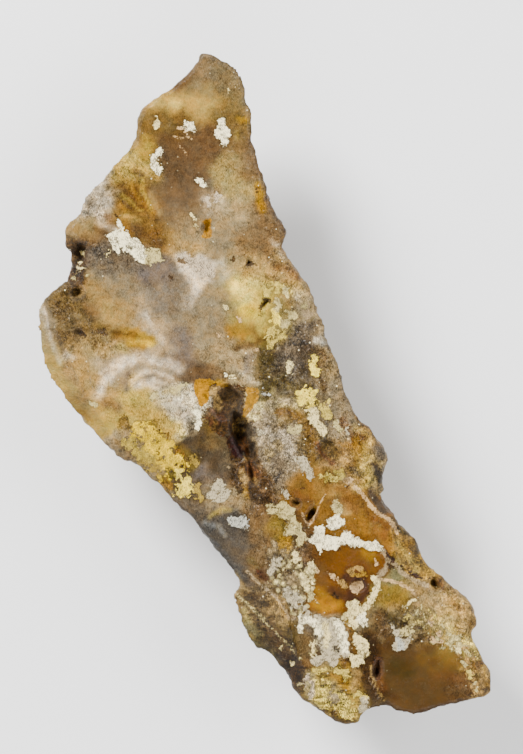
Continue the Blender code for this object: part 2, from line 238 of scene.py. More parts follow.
# Drifts of the ground: tint, how busy it is, reach, and the points that it runs through
DRIFTS = table(
    "taupe 0.5 3.4 -11.5,66 -11,64",
    "bronze 0.4 2.2 -14.5,63.5 -16.5,61",
    "khaki 0.55 3.2 -8,63.5 -7,60 -6,57.5",
    "wheat 0.3 2.9 -20.5,57 -16,57.2 -12.5,56.6",
    "hazel 0.5 3 -8,56 -5.5,54 -5.6,51.5",
    "antique 0.5 2.6 -22.5,52 -19,52 -16.5,52.6",
    "fawn 0.3 2 -24.8,54.4 -25.2,50.8",
    "brass 0.5 2 -24.4,49 -22.6,48.8",
    "umber 0.4 4.4 -17.5,48.5 -14,46 -11.6,49 -15.5,43",
    "plum 0.3 4.8 -15,40 -15.4,36.6 -18,37.5",
    "bronze 0.5 2.8 -4.6,50 -3.4,46 -2.4,43.5",
    "custard 0.7 2.8 -28.4,46.4 -26.4,44.6 -24,44",
    "pearl 0.75 3.2 -33,41 -34.4,38 -31,37.6",
    "ochre 0.5 3.2 -27,39 -26.4,36 -24.2,40",
    "sienna 0.6 2.6 -23.4,36 -22.6,33 -24,31.4",
    "olive_sand 0.6 3.4 -7.4,44 -5.4,41.2 -6,38.6",
    "rose_grey 0.6 2.2 -11.2,38 -9,36.4",
    "bronze 0.6 3 0.6,35 0.6,31 -1.4,28.6",
    "stone 0.5 4 -15.4,34 -14,31.5 -8.4,33 -5,34.6",
    "mushroom 0.4 3.6 -8,30 -7.4,27 -7.6,23.6 -8.6,18.6",
    "fawn 0.4 2.4 -38,32.6 -35.4,32.6",
    "bronze 0.4 2.2 -35.4,30.6 -32.6,30.4",
    "grey_brown 0.7 3 -33.5,26.4 -30.5,25.4 -26.5,25",
    "mushroom 0.4 4.4 -28,21.6 -22.5,20.6 -16.5,18.6",
    "lilac 0.4 4.4 -21,23.4 -19.6,19",
    "tan 0.6 2 -18.4,28.8 -14.6,28.4",
    "sienna 0.5 2.2 -24,30 -20,29.8",
    "coffee 1 2.2 -37.6,29.2 -37.4,25.4 -37.8,21.4",
    "moss_brown 0.7 3.2 -40,17.8 -37.4,14.6 -38.4,11.4",
    "tan 0.4 3 -32,17.4 -29,14.4",
    "rose_grey 0.4 2.6 -24.6,18 -23.4,13.6 -21.4,9.8",
    "mushroom 0.4 4.2 -17.4,13 -12.4,14.4 -11.6,10.4",
    "lilac 0.4 3 -18,9.4 -15.6,6.6",
    "fawn 0.7 3 -36.6,8.4 -33.6,9",
    "stone 0.35 2 -45,17.6 -44,12.6 -43.6,8.8",
    "custard 0.15 2.2 -43.4,7.6 -41.6,2.4 -38.6,-3.4 -34.6,-6.4",
    "tan 0.5 3.4 -38.6,4.6 -36.4,0.6 -33.4,-1.6",
    "rose_grey 0.4 3.4 -30,4.8 -25.6,5 -22.4,0.8",
    "plum 0.4 2.6 -16,4.6 -12.4,3.8",
    "custard 0.5 3.2 -26.4,-2 -22.6,-4",
    "stone 0.7 2.4 -29.6,-9.4 -27.4,-12.6 -24,-16",
    "chalk 0.7 2.4 -19.4,-2.2 -16.4,-5",
    "straw 0.3 4 -4.6,21 -3.6,18 1.4,15.6",
    "tan 0.7 3.4 -3,24.6 1.6,23.6 5,20.6",
    "stone 0.7 3 7.4,18.4 8.4,15 10,12.4",
    "mushroom 0.6 2.4 5.2,14.8 6.8,13.4",
    "stone 0.6 3 -9.6,8 -8,5.6 -4.4,5.2",
    "smoke 0.9 3.4 6,10.6 5,6.8 7.4,4.4",
    "iron 0.9 2.4 8.4,12.6 6.4,8.6",
    "olive 0.8 2.6 3.4,1.8 5.4,0.4",
    "fawn 0.7 2.2 12.2,6.2 13.6,3.4",
    "mushroom 0.7 2 11.4,9.2 14.6,0 15.4,-3",
    "bone 0.7 2.4 2.6,-3.2 5,-3.4",
    "hazel 0.8 2.4 4.4,-5.4 7.4,-7.4 8.6,-11.4",
    "dusk 0.4 3 -12,-14.4 -9.6,-13 -8.8,-15.8",
    "lilac 0.4 2.4 -11.8,-17.6 -9.6,-17.4",
    "smoke 0.6 2.6 -13,-23.6 -10.4,-24.6",
    "stone 0.6 2.6 -8.4,-20.6 -6,-22.6",
    "slate 0.45 3.4 -9.4,-28 -6.4,-30.4 -5.4,-34",
    "bronze 0.6 3 -1.4,-26 -0.6,-30 -0.8,-34",
    "grit 0.9 3.4 2.2,-8.4 2.6,-12.4 3.4,-15.6",
    "coffee 0.9 3 -3,-17.4 -1.4,-20.6 -3,-22.4",
    "tan 0.8 3 15.6,-17.4 18.6,-15.8 13.4,-18.6",
    "amber 0.8 3.2 19.4,-9.8 18.6,-12.4",
    "mushroom 0.9 2.2 14.6,-7.8 16.6,-9.4",
    "straw 0.9 2.4 20.4,-14.6 20.8,-17.8",
    "stone 0.9 2 22.6,-11.4 23.4,-14.4 22.8,-18.4",
    "amber 0.4 3.6 7,-19 9,-22 12.6,-20.6",
    "amber 0.45 4.2 17,-21.6 19,-25.6 23.4,-28",
    "sand_band 0.9 2.6 26.6,-29.6 28.8,-33 31.4,-36.6",
    "mustard 0.6 2.4 1.4,-28.2 4.2,-30.4",
    "bronze 0.8 2.4 7.4,-31.2 8.4,-33.4",
    "khaki 0.9 3 3,-33.4 6.4,-37.4 7.4,-41.6",
    "orange 0.2 4.4 13.6,-35.6 18.6,-34.4 13,-40.6",
    "sage 0.5 1.8 26.6,-36.2 25,-37.2",
    "mustard 0.5 2.8 24.6,-41.4 27.4,-40.8",
    "khaki 0.9 2.8 25,-45.6 30,-44.6 31.4,-46.8",
    "stone 0.5 2.6 30.6,-40 33,-42.6",
    "wheat 0.8 3.6 34.6,-43.6 36.6,-46.4 37.4,-49",
    "tan 0.9 3 37,-41 40.2,-44 40.4,-47.4",
    "cocoa 0.12 3.6 26.6,-54.4 27.4,-58.6 29,-53.4",
    "lobe_gold 0.12 2.8 35,-53.4 37.4,-54.4",
    "cocoa 0.1 4.4 31.6,-58 34.6,-60 30.4,-62.4",
    "coffee 0.6 2.2 40.6,-59 39,-60.6",
    "cream 0.9 2 40.2,-52 41.4,-55.6",
    "tan 0.9 2.2 43.4,-56.6 44.4,-59.6",
    "bark 0.6 2.6 21.4,-50.6 21.2,-56.4 22,-61.6",
    "khaki 0.5 2.2 22.6,-46.6 23.4,-44",
    "mushroom 0.6 3.6 11.4,-48.6 14,-50",
    "bronze 0.5 2.6 7.6,-50.4 8,-52.6",
    "moss_brown 1 2.6 -0.6,-42.4 1.6,-45.4",
    "tan 0.8 1.8 2.8,-43.4 3.6,-46.4",
    "olive 0.7 2.8 -1.6,-49.6 1.6,-51.6 4.4,-49.4",
    "sage 0.5 1.8 -2.4,-47.6 -1.8,-50",
    "fawn 0.6 1.6 -5.4,-41.2 -3.4,-44",
    "bark 0.9 2.6 5,-55.4 7.4,-57.6 7.6,-60.4",
    "custard 0.8 3.8 11.6,-59.4 14.4,-62.4 17.6,-65.6",
    "brass 0.7 2.4 16.4,-57.6 17.8,-59.8",
)

# Washes over the ground: tint, strength, softness, width, points. A width of 0 fills the
# points' outline
WASHES = table(
    "coffee 0.8 1 1.4 -17.4,60.4 -15.4,61.4",
    "cream 0.5 1.2 1.2 -18.6,57.2 -17.6,56.8",
    "khaki 0.6 1.4 3.4 -14,60.4 -10.8,59.2",
    "antique 0.7 0.9 1.8 -20.2,53.6 -18.6,52.4 -17.2,50.4",
    "coffee 0.5 1 2 -20,50.4 -18,49",
    "brass 0.8 0.7 1.8 -23.4,49.6 -23,48.6",
    "gold 0.8 0.5 1.2 -5.3,54.3 -4.8,53.8",
    "gold 0.8 0.5 1 -3.9,54.2 -3.7,53.6",
    "brass 0.5 0.5 0.7 -5.2,51 -5.3,50.2",
    "bark 0.5 0.7 0.9 -25.9,43.5 -25.7,43.2",
    "coffee 0.6 0.6 1 -24.9,42.6 -24.8,41.7",
    "olive 0.5 0.5 0.9 -29.8,43.6 -29.5,42.8",
    "olive 0.5 0.5 0.7 -31.5,40.4 -31.1,39.9",
    "coffee 0.6 0.6 0.6 -28.6,41 -28,39.6",
    "sienna 0.9 0.8 3 -25.6,38.6 -23.4,36.6",
    "honey 0.9 0.3 0.7 -26.6,40.9 -25.6,39.2 -23.6,37 -22,35.2",
    "bark 0.7 0.3 0.5 -26,40.6 -24.8,38.4 -22.6,36.2",
    "bark 0.7 0.3 0.5 -27.4,39.2 -25.6,37.6 -23.6,36",
    "brass 0.9 0.3 0.6 -28.2,38.4 -26.2,37 -24.4,35.9",
    "coffee 0.8 0.3 0.5 -28.6,37.4 -26.8,36.4 -25,35.6",
    "brass 0.9 0.3 0.6 -25,41.6 -24.4,40 -23.2,38 -22.4,36.4",
    "brass 0.8 0.3 0.7 -24.2,39.9 -23.6,38.8 -23,37.8",
    "coffee 0.7 0.3 0.5 -28.5,41.2 -28,40.2 -27.2,39.4",
    "coffee 0.6 0.3 0.5 -25.8,43.4 -24.8,43 -24.8,42",
    "marigold 0.5 0.4 0.7 -28.8,37 -27.8,35.8",
    "wheat 0.8 0.7 1.6 -27.6,34.6 -25.8,34 -25.2,32.8",
    "coffee 0.7 0.6 1.8 -25.8,32 -25,30.6",
    "tan 0.8 0.5 0.8 -22.6,39 -21.6,37 -20.8,35.2",
    "plum 0.7 1 1.6 -20.6,46.6 -19.6,44.4 -20,41.2",
    "ash_brown 0.6 0.8 1.4 -12.2,41.8 -10.2,40.4",
    "milk 0.6 0.7 1 -11.6,38 -11.2,36.8",
    "milk 0.4 0.9 1.4 -10.2,38.6 -8.6,38",
    "gold 0.9 0.6 1.4 -1.4,40.6 -1.2,38.6 -0.6,36.2",
    "grey_brown 0.5 0.6 1.4 -2.6,46.4 -2,44.4",
    "rust 0.6 0.5 0.8 -32,34.4 -30.8,34",
    "milk 0.7 0.7 1.2 -33.6,34.6 -32,32.8 -30,31.8",
    "slate 0.5 0.5 1 -35.2,38.2 -34.8,36.8",
    "coffee 0.6 0.6 0.8 -33.6,32.2 -31.6,31",
    "coffee 0.7 0.8 1.6 -26.2,33.2 -23.6,30.4 -20.8,29.6",
    "grey_brown 0.6 1 2.2 -30.4,26.4 -27,25.2 -24.6,24",
    "lilac 1 1.4 3.6 -24,22.6 -20,23.4",
    "milk 0.5 1.2 2.4 -13.6,20 -15.4,17.4",
    "chalk 0.5 1 2.6 -8.8,24.4 -8,23",
    "milk 0.9 0.7 0 -17.6,26.4 -16.4,27 -15.2,27 -14.3,26.1 -12.9,26.5 -11.6,26.2 -10.4,25 "
        "-9.8,23.8 -9.8,22.7 -10.7,21.7 -11.7,21.5 -12.5,20.2 -13.4,19.2 -14.3,19.8 -14.4,21 "
        "-15.3,21.9 -16.3,23 -17.2,24.4",
    "umber 0.5 0.7 1.6 -37,27.6 -36.4,26.2",
    "coffee 0.7 0.8 1.8 -38.2,22.8 -37,21.6",
    "bark 0.45 0.8 1.6 -37.4,28.6 -36.6,25 -37.4,21.8",
    # Painted light: pale tan in the pit at the left edge, lighter than the stone there, to offset
    # the pit's shade.
    "tan 0.9 0.5 1.6 -37.6,19.2 -36.8,18.9",
    "chalk 0.7 0.5 1.1 -44.9,17.2 -44.2,13.4 -42.6,9.4 -41,5.4",
    "milk 0.8 0.3 0.5 -43.9,16.4 -43.3,13.4 -42.6,10.8",
    "olive_sand 0.6 0.6 1.2 -45.4,14.6 -44.6,9.4 -42.8,3.4",
    "hazel 0.5 0.9 2.6 -40.8,18.4 -38.4,16.6 -36.4,15.2",
    "umber 0.6 0.9 2.2 -35.4,16.4 -34,15.2",
    "wheat 0.4 1.2 2 -32,16.2 -29.8,14",
    "milk 0.5 0.9 1.2 -23.8,15 -22.6,13.4 -21.4,11 -20.4,9.4",
    "antique 0.8 0.7 1.4 -35,12.6 -31,12 -27,11.6",
    "sienna 0.8 0.7 1.8 -30,10.6 -27,10.4",
    "marigold 1 0.8 2 -26.4,10.8 -24.4,10.5 -23.2,9.8",
    "brass 0.6 0.8 2.2 -27.6,10.9 -24.6,10.6 -22.6,9.4",
    "ochre 0.7 0.4 0.8 -30,11 -27.4,10.9 -25.2,10.4",
    "bark 0.6 0.4 0.6 -30.6,11.3 -28,11 -25.8,11",
    "primrose 0.55 0.6 1.2 -26.2,9.2 -24.2,9 -22.8,8.6",
    "gold 0.8 0.7 1.4 -26.6,8.8 -24.6,8.4",
    "custard 0.7 0.8 1.4 -28.4,8.2 -27,7.4",
    "milk 0.7 0.8 1.3 -40,6.6 -38.4,6",
    "milk 0.85 1 1.9 -33,-0.9 -32.4,1 -31.4,2.9 -29.8,4.2 -28.2,4.8",
    "milk 0.85 1.1 1.9 -28.4,4.9 -26.2,5.6 -24,5.7 -21.6,5.5 -19.4,5.2 -16.8,3.6",
    "milk 0.8 0.4 0.7 -29.4,2.6 -30.2,0.8",
    "mushroom 0.6 0.8 1.2 -29.2,0.2 -28.4,2.4 -26.6,3.6 -24,4.3 -21,4.3 -18.4,3.6",
    "lilac 0.8 0.7 1.2 -27.2,2.6 -27.6,1 -27.4,-0.2",
    "milk 0.75 0.5 0.7 -26.2,1.4 -25.4,2.5 -24,3.3 -22.2,3.6 -20.4,3.5 -18.8,2.2",
    "grey_brown 0.7 0.4 0.8 -24.6,1.6 -23.4,2.4 -21.6,2.8 -19.8,2.2",
    "milk 0.7 0.4 0.5 -23.2,1.2 -21.8,1.9 -20.2,1.5",
    "milk 0.8 0.9 1.6 -25.4,0.6 -24,1 -22.6,0.6 -21.4,-0.2",
    "grey_brown 0.6 0.4 0.7 -21.6,0.9 -20.2,0.6 -18.8,1.2",
    "olive_sand 0.6 0.6 1.6 -23.6,-0.9 -20.4,-0.6 -18,-0.2",
    "slate 0.6 0.5 1 -21.6,-3 -20.6,-4.2",
    "dusk 0.8 0.5 1.5 -14.4,-6.8 -14.6,-8.4",
    "pearl 0.8 0.8 3 -18.6,-3.4 -15.4,-5",
    "bronze 0.7 0.9 1.8 -32,-2.8 -30.4,-3.6 -28.8,-4.2",
    "straw 0.6 1.2 2.4 -26,-2 -23.8,-1.6",
    "custard 0.8 0.9 2.8 -21,-6.8 -17.6,-7.6",
    "cream 0.6 0.5 1.2 -17.4,-8 -16.6,-8.8",
    "mustard 0.8 0.6 2.2 -17,-12.6 -15.2,-13.4 -14.4,-15.2",
    "mustard 0.7 0.6 1.4 -20.4,-17.8 -19.2,-19.6",
    "umber 0.4 0.8 2 -28.6,-11.6 -27,-13",
    "gold 0.5 0.8 0.9 -38,-4.2 -34.6,-6.2 -31.4,-7",
    "custard 0.9 1 3.2 -33.6,-4.6 -30.4,-5.8 -28.8,-6.4",
    "peach 0.5 0.8 1.6 -34,-4.2 -32.4,-4.8",
    "rust 0.5 0.8 1.6 2.6,24.6 5,23.8 6.6,22.2",
    "bronze 0.6 0.8 2.4 -0.6,29 1,26.6",
    "milk 0.6 0.5 1 1.4,29.8 2.8,28.6",
    "milk 0.5 0.5 0.8 3,27.2 4,26.2",
    "cream 1 1.2 3.6 -4.8,20.2 -3.6,18.4",
    "cream 0.5 0.9 1.6 -3,21.6 0.6,20.4",
    "primrose 0.6 0.9 2.4 -3.4,16 -2.6,15",
    "cream 0.6 0.5 1.4 4.2,19.8 5.2,19.2",
    "cream 0.5 0.5 1.2 1,21 1.6,20.2",
    "wheat 0.5 0.6 1.6 6.6,20.6 7.6,19",
    "honey 0.9 1.2 2.8 -6.4,11.8 -4.6,11.2",
    "rust 0.6 0.9 1.4 -2.6,12 -1.8,10.2",
    "sienna 0.6 0.9 1.6 -5.6,9.2 -2.6,9",
    "coffee 0.8 0.6 1.2 -5.4,8 -3,8.6 -0.4,9.2 0.6,10",
    "dark_olive 0.85 1.4 2.4 -0.2,7.4 0,5 -0.2,2.8",
    "dark_olive 0.7 1.2 1.8 1.4,6.4 1.8,4",
    "lilac 0.6 0.7 1.6 -2.8,6 -3.2,3.6",
    "umber 0.8 0.9 2.2 -12.4,3.6 -9.6,3.4 -8.4,2.6",
    "dusk 0.9 1.2 3 -12,-13 -10.4,-13.8 -9.8,-16",
    "tan 0.45 0.8 1.6 -10.7,-10.8 -10.2,-11.6",
    "stone 0.25 0.9 2 -7.9,-12.6 -7.8,-15",
    "hazel 0.45 0.8 3 -38.6,-1.6 -36,-4.6",
    "plum 0.6 1.4 3.6 -15.4,40 -16,37",
    "antique 0.9 1 3.2 -11.4,-6.2 -10.4,-7.6",
    "moss_brown 0.7 1 2.4 -12.4,-10.6 -9.6,-9.8 -8,-11",
    "tan 0.8 0.5 1.2 -1.6,-5.2 -3.2,-6.6",
    "chalk 0.6 0.6 1.2 -4.6,2.6 -3.4,1.6 -1.6,1.2",
    "slate 0.8 0.4 0.9 -2.3,-11 -2.6,-12.6",
    "gold 0.7 0.5 1 -7.6,0.9 -8.6,1.4",
    "dark_olive 0.7 0.6 1.2 1,1.6 2,0.2 3.6,0.6",
    "smoke 0.7 0.6 1.8 2.6,-1.4 5.6,-0.8",
    "coffee 0.7 0.6 1 8.6,8.6 9.8,7.4 11.2,4.4 12.2,0.6",
    "peat 0.6 0.5 0.8 10.6,2.2 11.4,0.6 12.2,-0.6",
    "rust 0.5 0.5 0.8 11.6,7 12.4,5.6",
    "ochre 0.95 0.6 2.2 3.2,-4.8 5.2,-5.2 7,-6",
    "umber 0.55 0.6 1.8 3.4,-4.9 5,-5.4",
    "ochre 0.8 0.6 2 8.8,-7.6 9.4,-10.4 9.4,-13",
    "khaki 0.8 0.5 1.8 7.2,-10.8 7.4,-12.4",
    "hazel 0.8 0.6 1.4 7.8,-8 8.6,-11 9.4,-13.6",
    "hazel 0.85 0.6 3.6 12.4,-11.4 13.6,-12.6",
    "tan 0.4 0.6 2.2 12.6,-11.8 13.4,-12.6",
    "antique 0.7 0.4 0.7 12,-10.6 12.4,-13",
    "antique 0.6 0.4 0.6 14.2,-10.8 14.2,-12.8",
    "rust 0.95 0.3 0.8 10.5,-11 11,-12.8 12,-14.2 13.4,-14.9 13.9,-14.4",
    "tan 0.8 0.3 0.5 15.6,-11.6 15.2,-13.2 14.2,-15 12.8,-15.6 11.2,-14.8",
    "wheat 0.8 0.7 1.4 18.6,-7.6 20.4,-8.8 21.6,-10.6",
    "honey 0.7 0.7 2.6 18.2,-9.8 18.8,-12.6",
    "rust 0.8 0.3 0.5 17.4,-10.8 17.6,-8.9 19,-9.1 20,-10",
    "rust 0.6 0.5 1.8 16,-6.4 16.8,-8.8",
    "slate 0.8 0.4 1.2 12.4,-6.7 13.2,-7",
    "lilac 0.7 0.5 1 17.4,-15.4 18.5,-17",
    "custard 0.7 0.5 1.4 20.6,-11.6 20.8,-14.6 20.6,-18",
    "grey_brown 0.85 0.5 2 22.8,-12 23.4,-13.6",
    "bark 0.8 0.4 0.8 21.8,-15.2 23.2,-15.2",
    "iron 0.9 0.4 1.6 22.8,-16.4 23.4,-18.2",
    "dark_olive 0.8 0.4 0.8 22.4,-17.6 23.2,-18.4",
    "iron 0.85 0.5 1.8 21.4,-20.8 22.6,-22.4 24.2,-24.6",
    "bark 0.8 0.3 0.8 20.9,-20.4 21.8,-21",
    "wheat 0.7 0.6 1.6 13.4,-20.6 15.4,-21.6",
    "dark_olive 0.85 0.4 1.2 25.8,-26.4 27.4,-28.4 28.8,-29.8",
    "dark_olive 0.8 0.4 1 30.2,-30.8 30.7,-33",
    "dark_olive 0.8 0.4 0.9 31.2,-34.6 32,-36",
    "olive 0.6 0.3 0.4 26.2,-29.8 27.4,-31.8 29,-33.4 30.2,-35",
    "antique 0.6 0.3 0.5 27.8,-29.6 29.2,-31.6 30,-33.4",
    "olive 0.6 0.3 0.4 26.4,-32.4 28.4,-34.6 30.4,-36.6",
    "custard 0.8 0.3 0.9 26.6,-30.8 28.2,-32.8 29.6,-34.6 31,-36.4",
    "tan 0.9 0.4 1.5 -4.8,-16.6 -4.3,-18.6",
    "tan 0.7 0.4 0.8 -3.9,-19.2 -3.8,-21.2",
    "gold 0.5 0.4 0.8 -3.6,-20.4 -3.4,-22",
    "peach 0.8 0.4 1.1 -2.2,-18.4 -1.6,-19.2",
    "amber 0.7 0.6 1.6 -3.4,-15.8 -2.4,-17.2",
    "rust 0.6 0.6 1.2 -2,-16 -0.6,-17.6",
    "bark 0.8 0.6 1.4 -2.6,-19.6 -1.2,-21.2 0,-22.2",
    "slate 1 1 3.2 -11,-27.6 -8,-28 -5.6,-29.4",
    # Painted highlight: light grey streaks along the blue-grey glassy patch.
    "snow 0.4 0.5 0.5 -11.6,-26.6 -9.6,-27.6 -7.6,-29.6",
    "straw 0.7 0.5 0.7 -10.4,-25.6 -8.6,-24.6 -6.6,-24.4",
    "ash_brown 0.4 0.8 2.4 -6.6,-31.6 -5,-34.4",
    "olive 0.6 0.7 1.6 -2.8,-34.6 -1,-36",
    "dark_rust 0.7 0.6 1.4 -1,-36.8 0.2,-38",
    "sienna 0.7 0.9 2.4 7,-18.4 6.8,-21.2 8.6,-23.2",
    "rust 0.6 0.6 1.6 6.8,-21.4 9.2,-22.6",
    "tan 0.25 0.6 1.2 10.4,-19.2 12.4,-20.4 13.4,-21.6",
    "peach 0.9 0.7 2.2 15.8,-23.2 16.6,-24.8",
    "coffee 0.6 0.4 0.6 12.6,-22.4 15,-21.6 17.6,-22.8 20,-25",
    "ochre 0.6 0.5 1.2 20.4,-23.6 22.6,-25.6 25,-28",
    "coffee 0.5 0.4 0.6 14.6,-19.6 17.4,-20.2 19.6,-22.2 21.6,-24.4",
    "rust 0.35 0.8 1.8 13,-20 17,-21.2 19.6,-23.4",
    "honey 0.4 0.5 1 19,-26.4 20,-28.6",
    "rust 0.5 0.5 1.4 16,-22.6 17.6,-24.6",
    "rust 0.4 0.4 0.8 19.2,-24.2 21,-26 22.6,-29.8",
    "rust 0.6 0.5 1.8 22,-26.4 24.4,-27.6 24,-29.4",
    "tan 0.6 0.25 0.3 20.6,-26.8 20.8,-28.6 22.2,-28.8 22.8,-27.8 21.8,-27",
    "tan 0.5 0.25 0.3 20.6,-25.6 22.4,-25.8 24.2,-26.6",
    "sienna 0.6 0.6 1.4 17,-21.6 19.4,-23.6 20.6,-24.4",
    "orange 0.95 0.4 0 8.4,-31.6 10,-31.4 11.2,-33 12.6,-32.4 14.4,-31.6 18,-31.4 "
        "22.8,-32.2 22.8,-34 22.4,-35.6 22,-37.2 20.8,-38.4 20.9,-39.8 20,-41.4 18.6,-42.4 "
        "17.4,-42.2 16.6,-43.2 16,-44.6 14.6,-45.2 12.8,-45.6 11.6,-45 10.4,-44.6 9.2,-44 "
        "9.2,-42.6 10,-41.4 10.4,-40 10.4,-38.4 10,-37 9.8,-35.4 8.6,-33.4",
    "umber 0.5 0.8 2 9.6,-32.8 11.4,-35.6 12,-38.6",
    "gold 0.7 0.7 1.8 20.2,-32.8 21.6,-34.2",
    "sienna 0.6 0.6 1 18.2,-32.2 20.6,-35.6 21.4,-37",
    "marigold 0.8 0.7 2.2 10.6,-42.8 12.2,-43.8 14.6,-43.6",
    "gold 0.6 0.5 1.2 11.2,-40 11.8,-41.4 14,-42.6",
    "dark_rust 0.75 0.6 1.6 13.6,-40.4 15.4,-41.6 16.4,-42.6",
    "rust 0.8 0.3 0.5 15.8,-34.6 17,-34.2 17.8,-33.4 17.9,-32.6",
    "rust 0.7 0.3 0.4 15.8,-36.6 16.6,-35.4 18,-34.8 19.6,-35 20.4,-36.2",
    "dark_rust 0.95 0.4 1.5 16.4,-38 18,-37.9 19.8,-38.2 20.6,-39.2 20.4,-40.8 19.4,-41.8 "
        "18,-42 16.6,-41",
    "chalk 0.5 1 3 7.4,18.4 8.6,15",
    "olive_sand 0.9 1 3.6 3,16 4.2,13.4 3.2,11.4",
    "hazel 0.5 0.6 1.4 5.2,17.6 4.4,16.8",
    "smoke 0.9 0.8 1.8 7.2,12.2 9,11.8",
    "slate 0.3 0.6 1.8 11.4,9.4 12.2,8.6",
    "snow 0.5 0.6 1.4 11,9.6 12.4,8.6",
    "rust 0.5 0.8 2.4 17.6,-36.4 19.2,-36.6",
    "gold 0.7 0.5 0 4,-29 5.4,-30 5.4,-31.4 4.6,-33 3.4,-32.6 2.6,-31.6 2.8,-30.2",
    "mustard 0.7 0.5 1 1.2,-27 2.8,-27.4 3.4,-28.6",
    # Painted shadow: dark brown between the white chain and the slit.
    "coffee 0.8 0.5 1.4 6.6,-25.2 8,-27.2 8.8,-28.8",
    "umber 0.7 0.6 2.2 8.6,-31.4 8.8,-33.4 8.2,-35",
    "dark_rust 0.6 0.5 1.4 -0.6,-36.2 0.4,-37.8",
    "peach 0.8 0.4 1.4 2.8,-42 3.6,-44 4.4,-45.4",
    "rose_grey 0.8 0.3 1.4 5.9,-44.8 6.1,-45.2",
    "mustard 0.9 0.5 0 23.6,-39.6 25.6,-39.4 28,-40.4 28.8,-41.4 27.4,-42.6 25.6,-43.4 "
        "23.8,-42.4 22.8,-41.2",
    "sage 0.8 0.4 0 24.2,-37.2 26,-36.2 27.4,-37 28.2,-38.2 26.2,-38.2",
    "peat 0.6 0.4 0.8 25.4,-34.6 25.8,-35.6",
    "tan 0.7 0.6 1.4 25.6,-43.6 27.2,-44",
    "coffee 0.6 0.7 1.8 27.4,-46.8 31.4,-47",
    "dark_olive 0.75 0.8 2.4 24.8,-46.4 27.2,-46.6",
    "bark 0.5 0.8 2 25,-48.4 25,-51.2",
    "bark 0.6 0.7 1.2 29.6,-51.2 31.4,-49.8 33,-49.2",
    "lilac 0.5 0.6 1.4 32.4,-39.4 33.4,-40.2",
    # Painted light: pale tan in the hole in the crust, lighter than the stone there, to offset the
    # hole's shade.
    "tan 0.9 0.4 1.6 34,-38.8 34.2,-40",
    "rust 0.8 0.5 1.1 35,-38.6 35.6,-40",
    "peach 0.7 0.8 2 36.6,-42 38.6,-43.2 39.8,-45",
    "rust 0.4 0.5 0.9 38.4,-43.2 39.4,-44.2",
    "cream 0.75 1 2.6 36,-46.4 37.4,-49.4",
    "rose_grey 0.4 1.2 3 34.6,-44 36.6,-46.6",
    "coffee 0.7 1.5 2.8 30,-52.2 33.4,-51.8",
    "mustard 0.3 1.2 2.6 35.4,-52.8 37.6,-53.6",
    "dark_olive 0.6 1.2 2.8 25.6,-55.6 28.6,-56.4",
    "umber 0.7 1 2 39,-58.4 40.6,-60.2",
    "sienna 0.8 0.5 1.6 42,-55 43.4,-54.8",
    "bark 0.9 0.8 2.8 21.6,-49.6 22,-54 22.4,-58 21,-61.6",
    "iron 0.6 0.8 2 20.8,-59.4 21.6,-62.6",
    "rust 0.7 0.5 1.6 22.9,-53.8 23.2,-57.6 24,-60",
    "rust 0.35 1.5 3 36,-57.6 40,-57.4",
    # Partly painted shade: a dark brown band along the lobe's lower edge, over a dark rim of the
    # stone's own.
    "coffee 0.75 0.5 1.1 24.6,-62.2 30,-64.2 36.6,-62.8 44.6,-59.8",
    "honey 0.6 0.5 1.2 43.8,-57 44.4,-59.4",
    "bark 0.7 0.7 1.4 24.6,-60.6 26,-61.6",
    "coffee 0.7 0.8 2.2 23.2,-45.4 24,-48.8",
    "sienna 0.9 0.4 1.3 16.4,-46.4 17.3,-49 17.9,-51.4 18.6,-53",
    "wheat 0.8 0.4 0.8 16.4,-46.6 17,-47",
    "ash_brown 0.8 0.7 1.8 8.9,-47.8 9.4,-49.4 10.2,-51.4 10.6,-52.8",
    "bark 0.7 0.4 0.9 10.2,-52.6 10.8,-53",
    "dark_olive 0.7 0.9 2 5.4,-48.8 4.8,-50.4",
    "bark 0.6 1 3.4 0,-48.8 3,-51.2 4.6,-53",
    "bark 0.6 0.8 2.4 4,-54.4 7,-56.6 7.4,-59.6",
    "bone 0.8 0.8 2.4 9,-57.4 9.6,-60.4 11.2,-62.6",
    "chalk 0.7 0.5 1.4 19.6,-62.4 19.6,-64.2",
    "honey 0.8 0.6 1.8 15.4,-58.6 16.4,-60",
    "ochre 0.8 0.4 1 13.2,-57.2 14.2,-57.8",
    "tan 0.8 0.6 2 18,-57 18.4,-60",
    "coffee 0.8 0.4 1.2 10.8,-64 12.4,-64.8",
    "pearl 0.8 1 3 12.4,-60 15,-62.6",
    "bark 0.7 0.8 1.8 14,-65.8 17,-66.8",
    "moss_brown 0.7 0.9 2.6 7.8,-50.4 8.2,-52.2",
    "bark 0.7 0.5 0.8 14.2,-51.9 14.9,-51.8",
    "bark 0.8 0.5 1.4 15.6,-54.6 16.6,-54.4",
    "sienna 0.9 0.5 1.3 15.6,-54.4 15.8,-55.8",
    "gold 0.8 0.6 1.6 15.6,-58.8 16.6,-60",
    "gold 0.7 0.6 1 13.4,-57.2 14.2,-58",
    "bark 0.7 0.8 2 3.4,-53.2 6.2,-56 7.6,-58.2",
    "sage 0.7 0.7 1.8 -2.8,-48 -1.2,-49",
    "cream 0.6 0.6 1 -3.8,-44.8 -3,-46.6",
    "brass 0.6 0.5 0.8 -2.4,-49.4 -1.8,-50.6",
    "umber 0.6 0.8 2 0.8,-47.6 4.4,-51.4",
    "bark 0.5 0.6 1.2 -3.2,-41 -1.4,-41.6",
    "tan 0.7 0.6 1 2.6,-42.2 3.6,-44.4 4.2,-46.8",
    "bark 0.7 0.6 1 10.8,-64 12.2,-64.8",
)

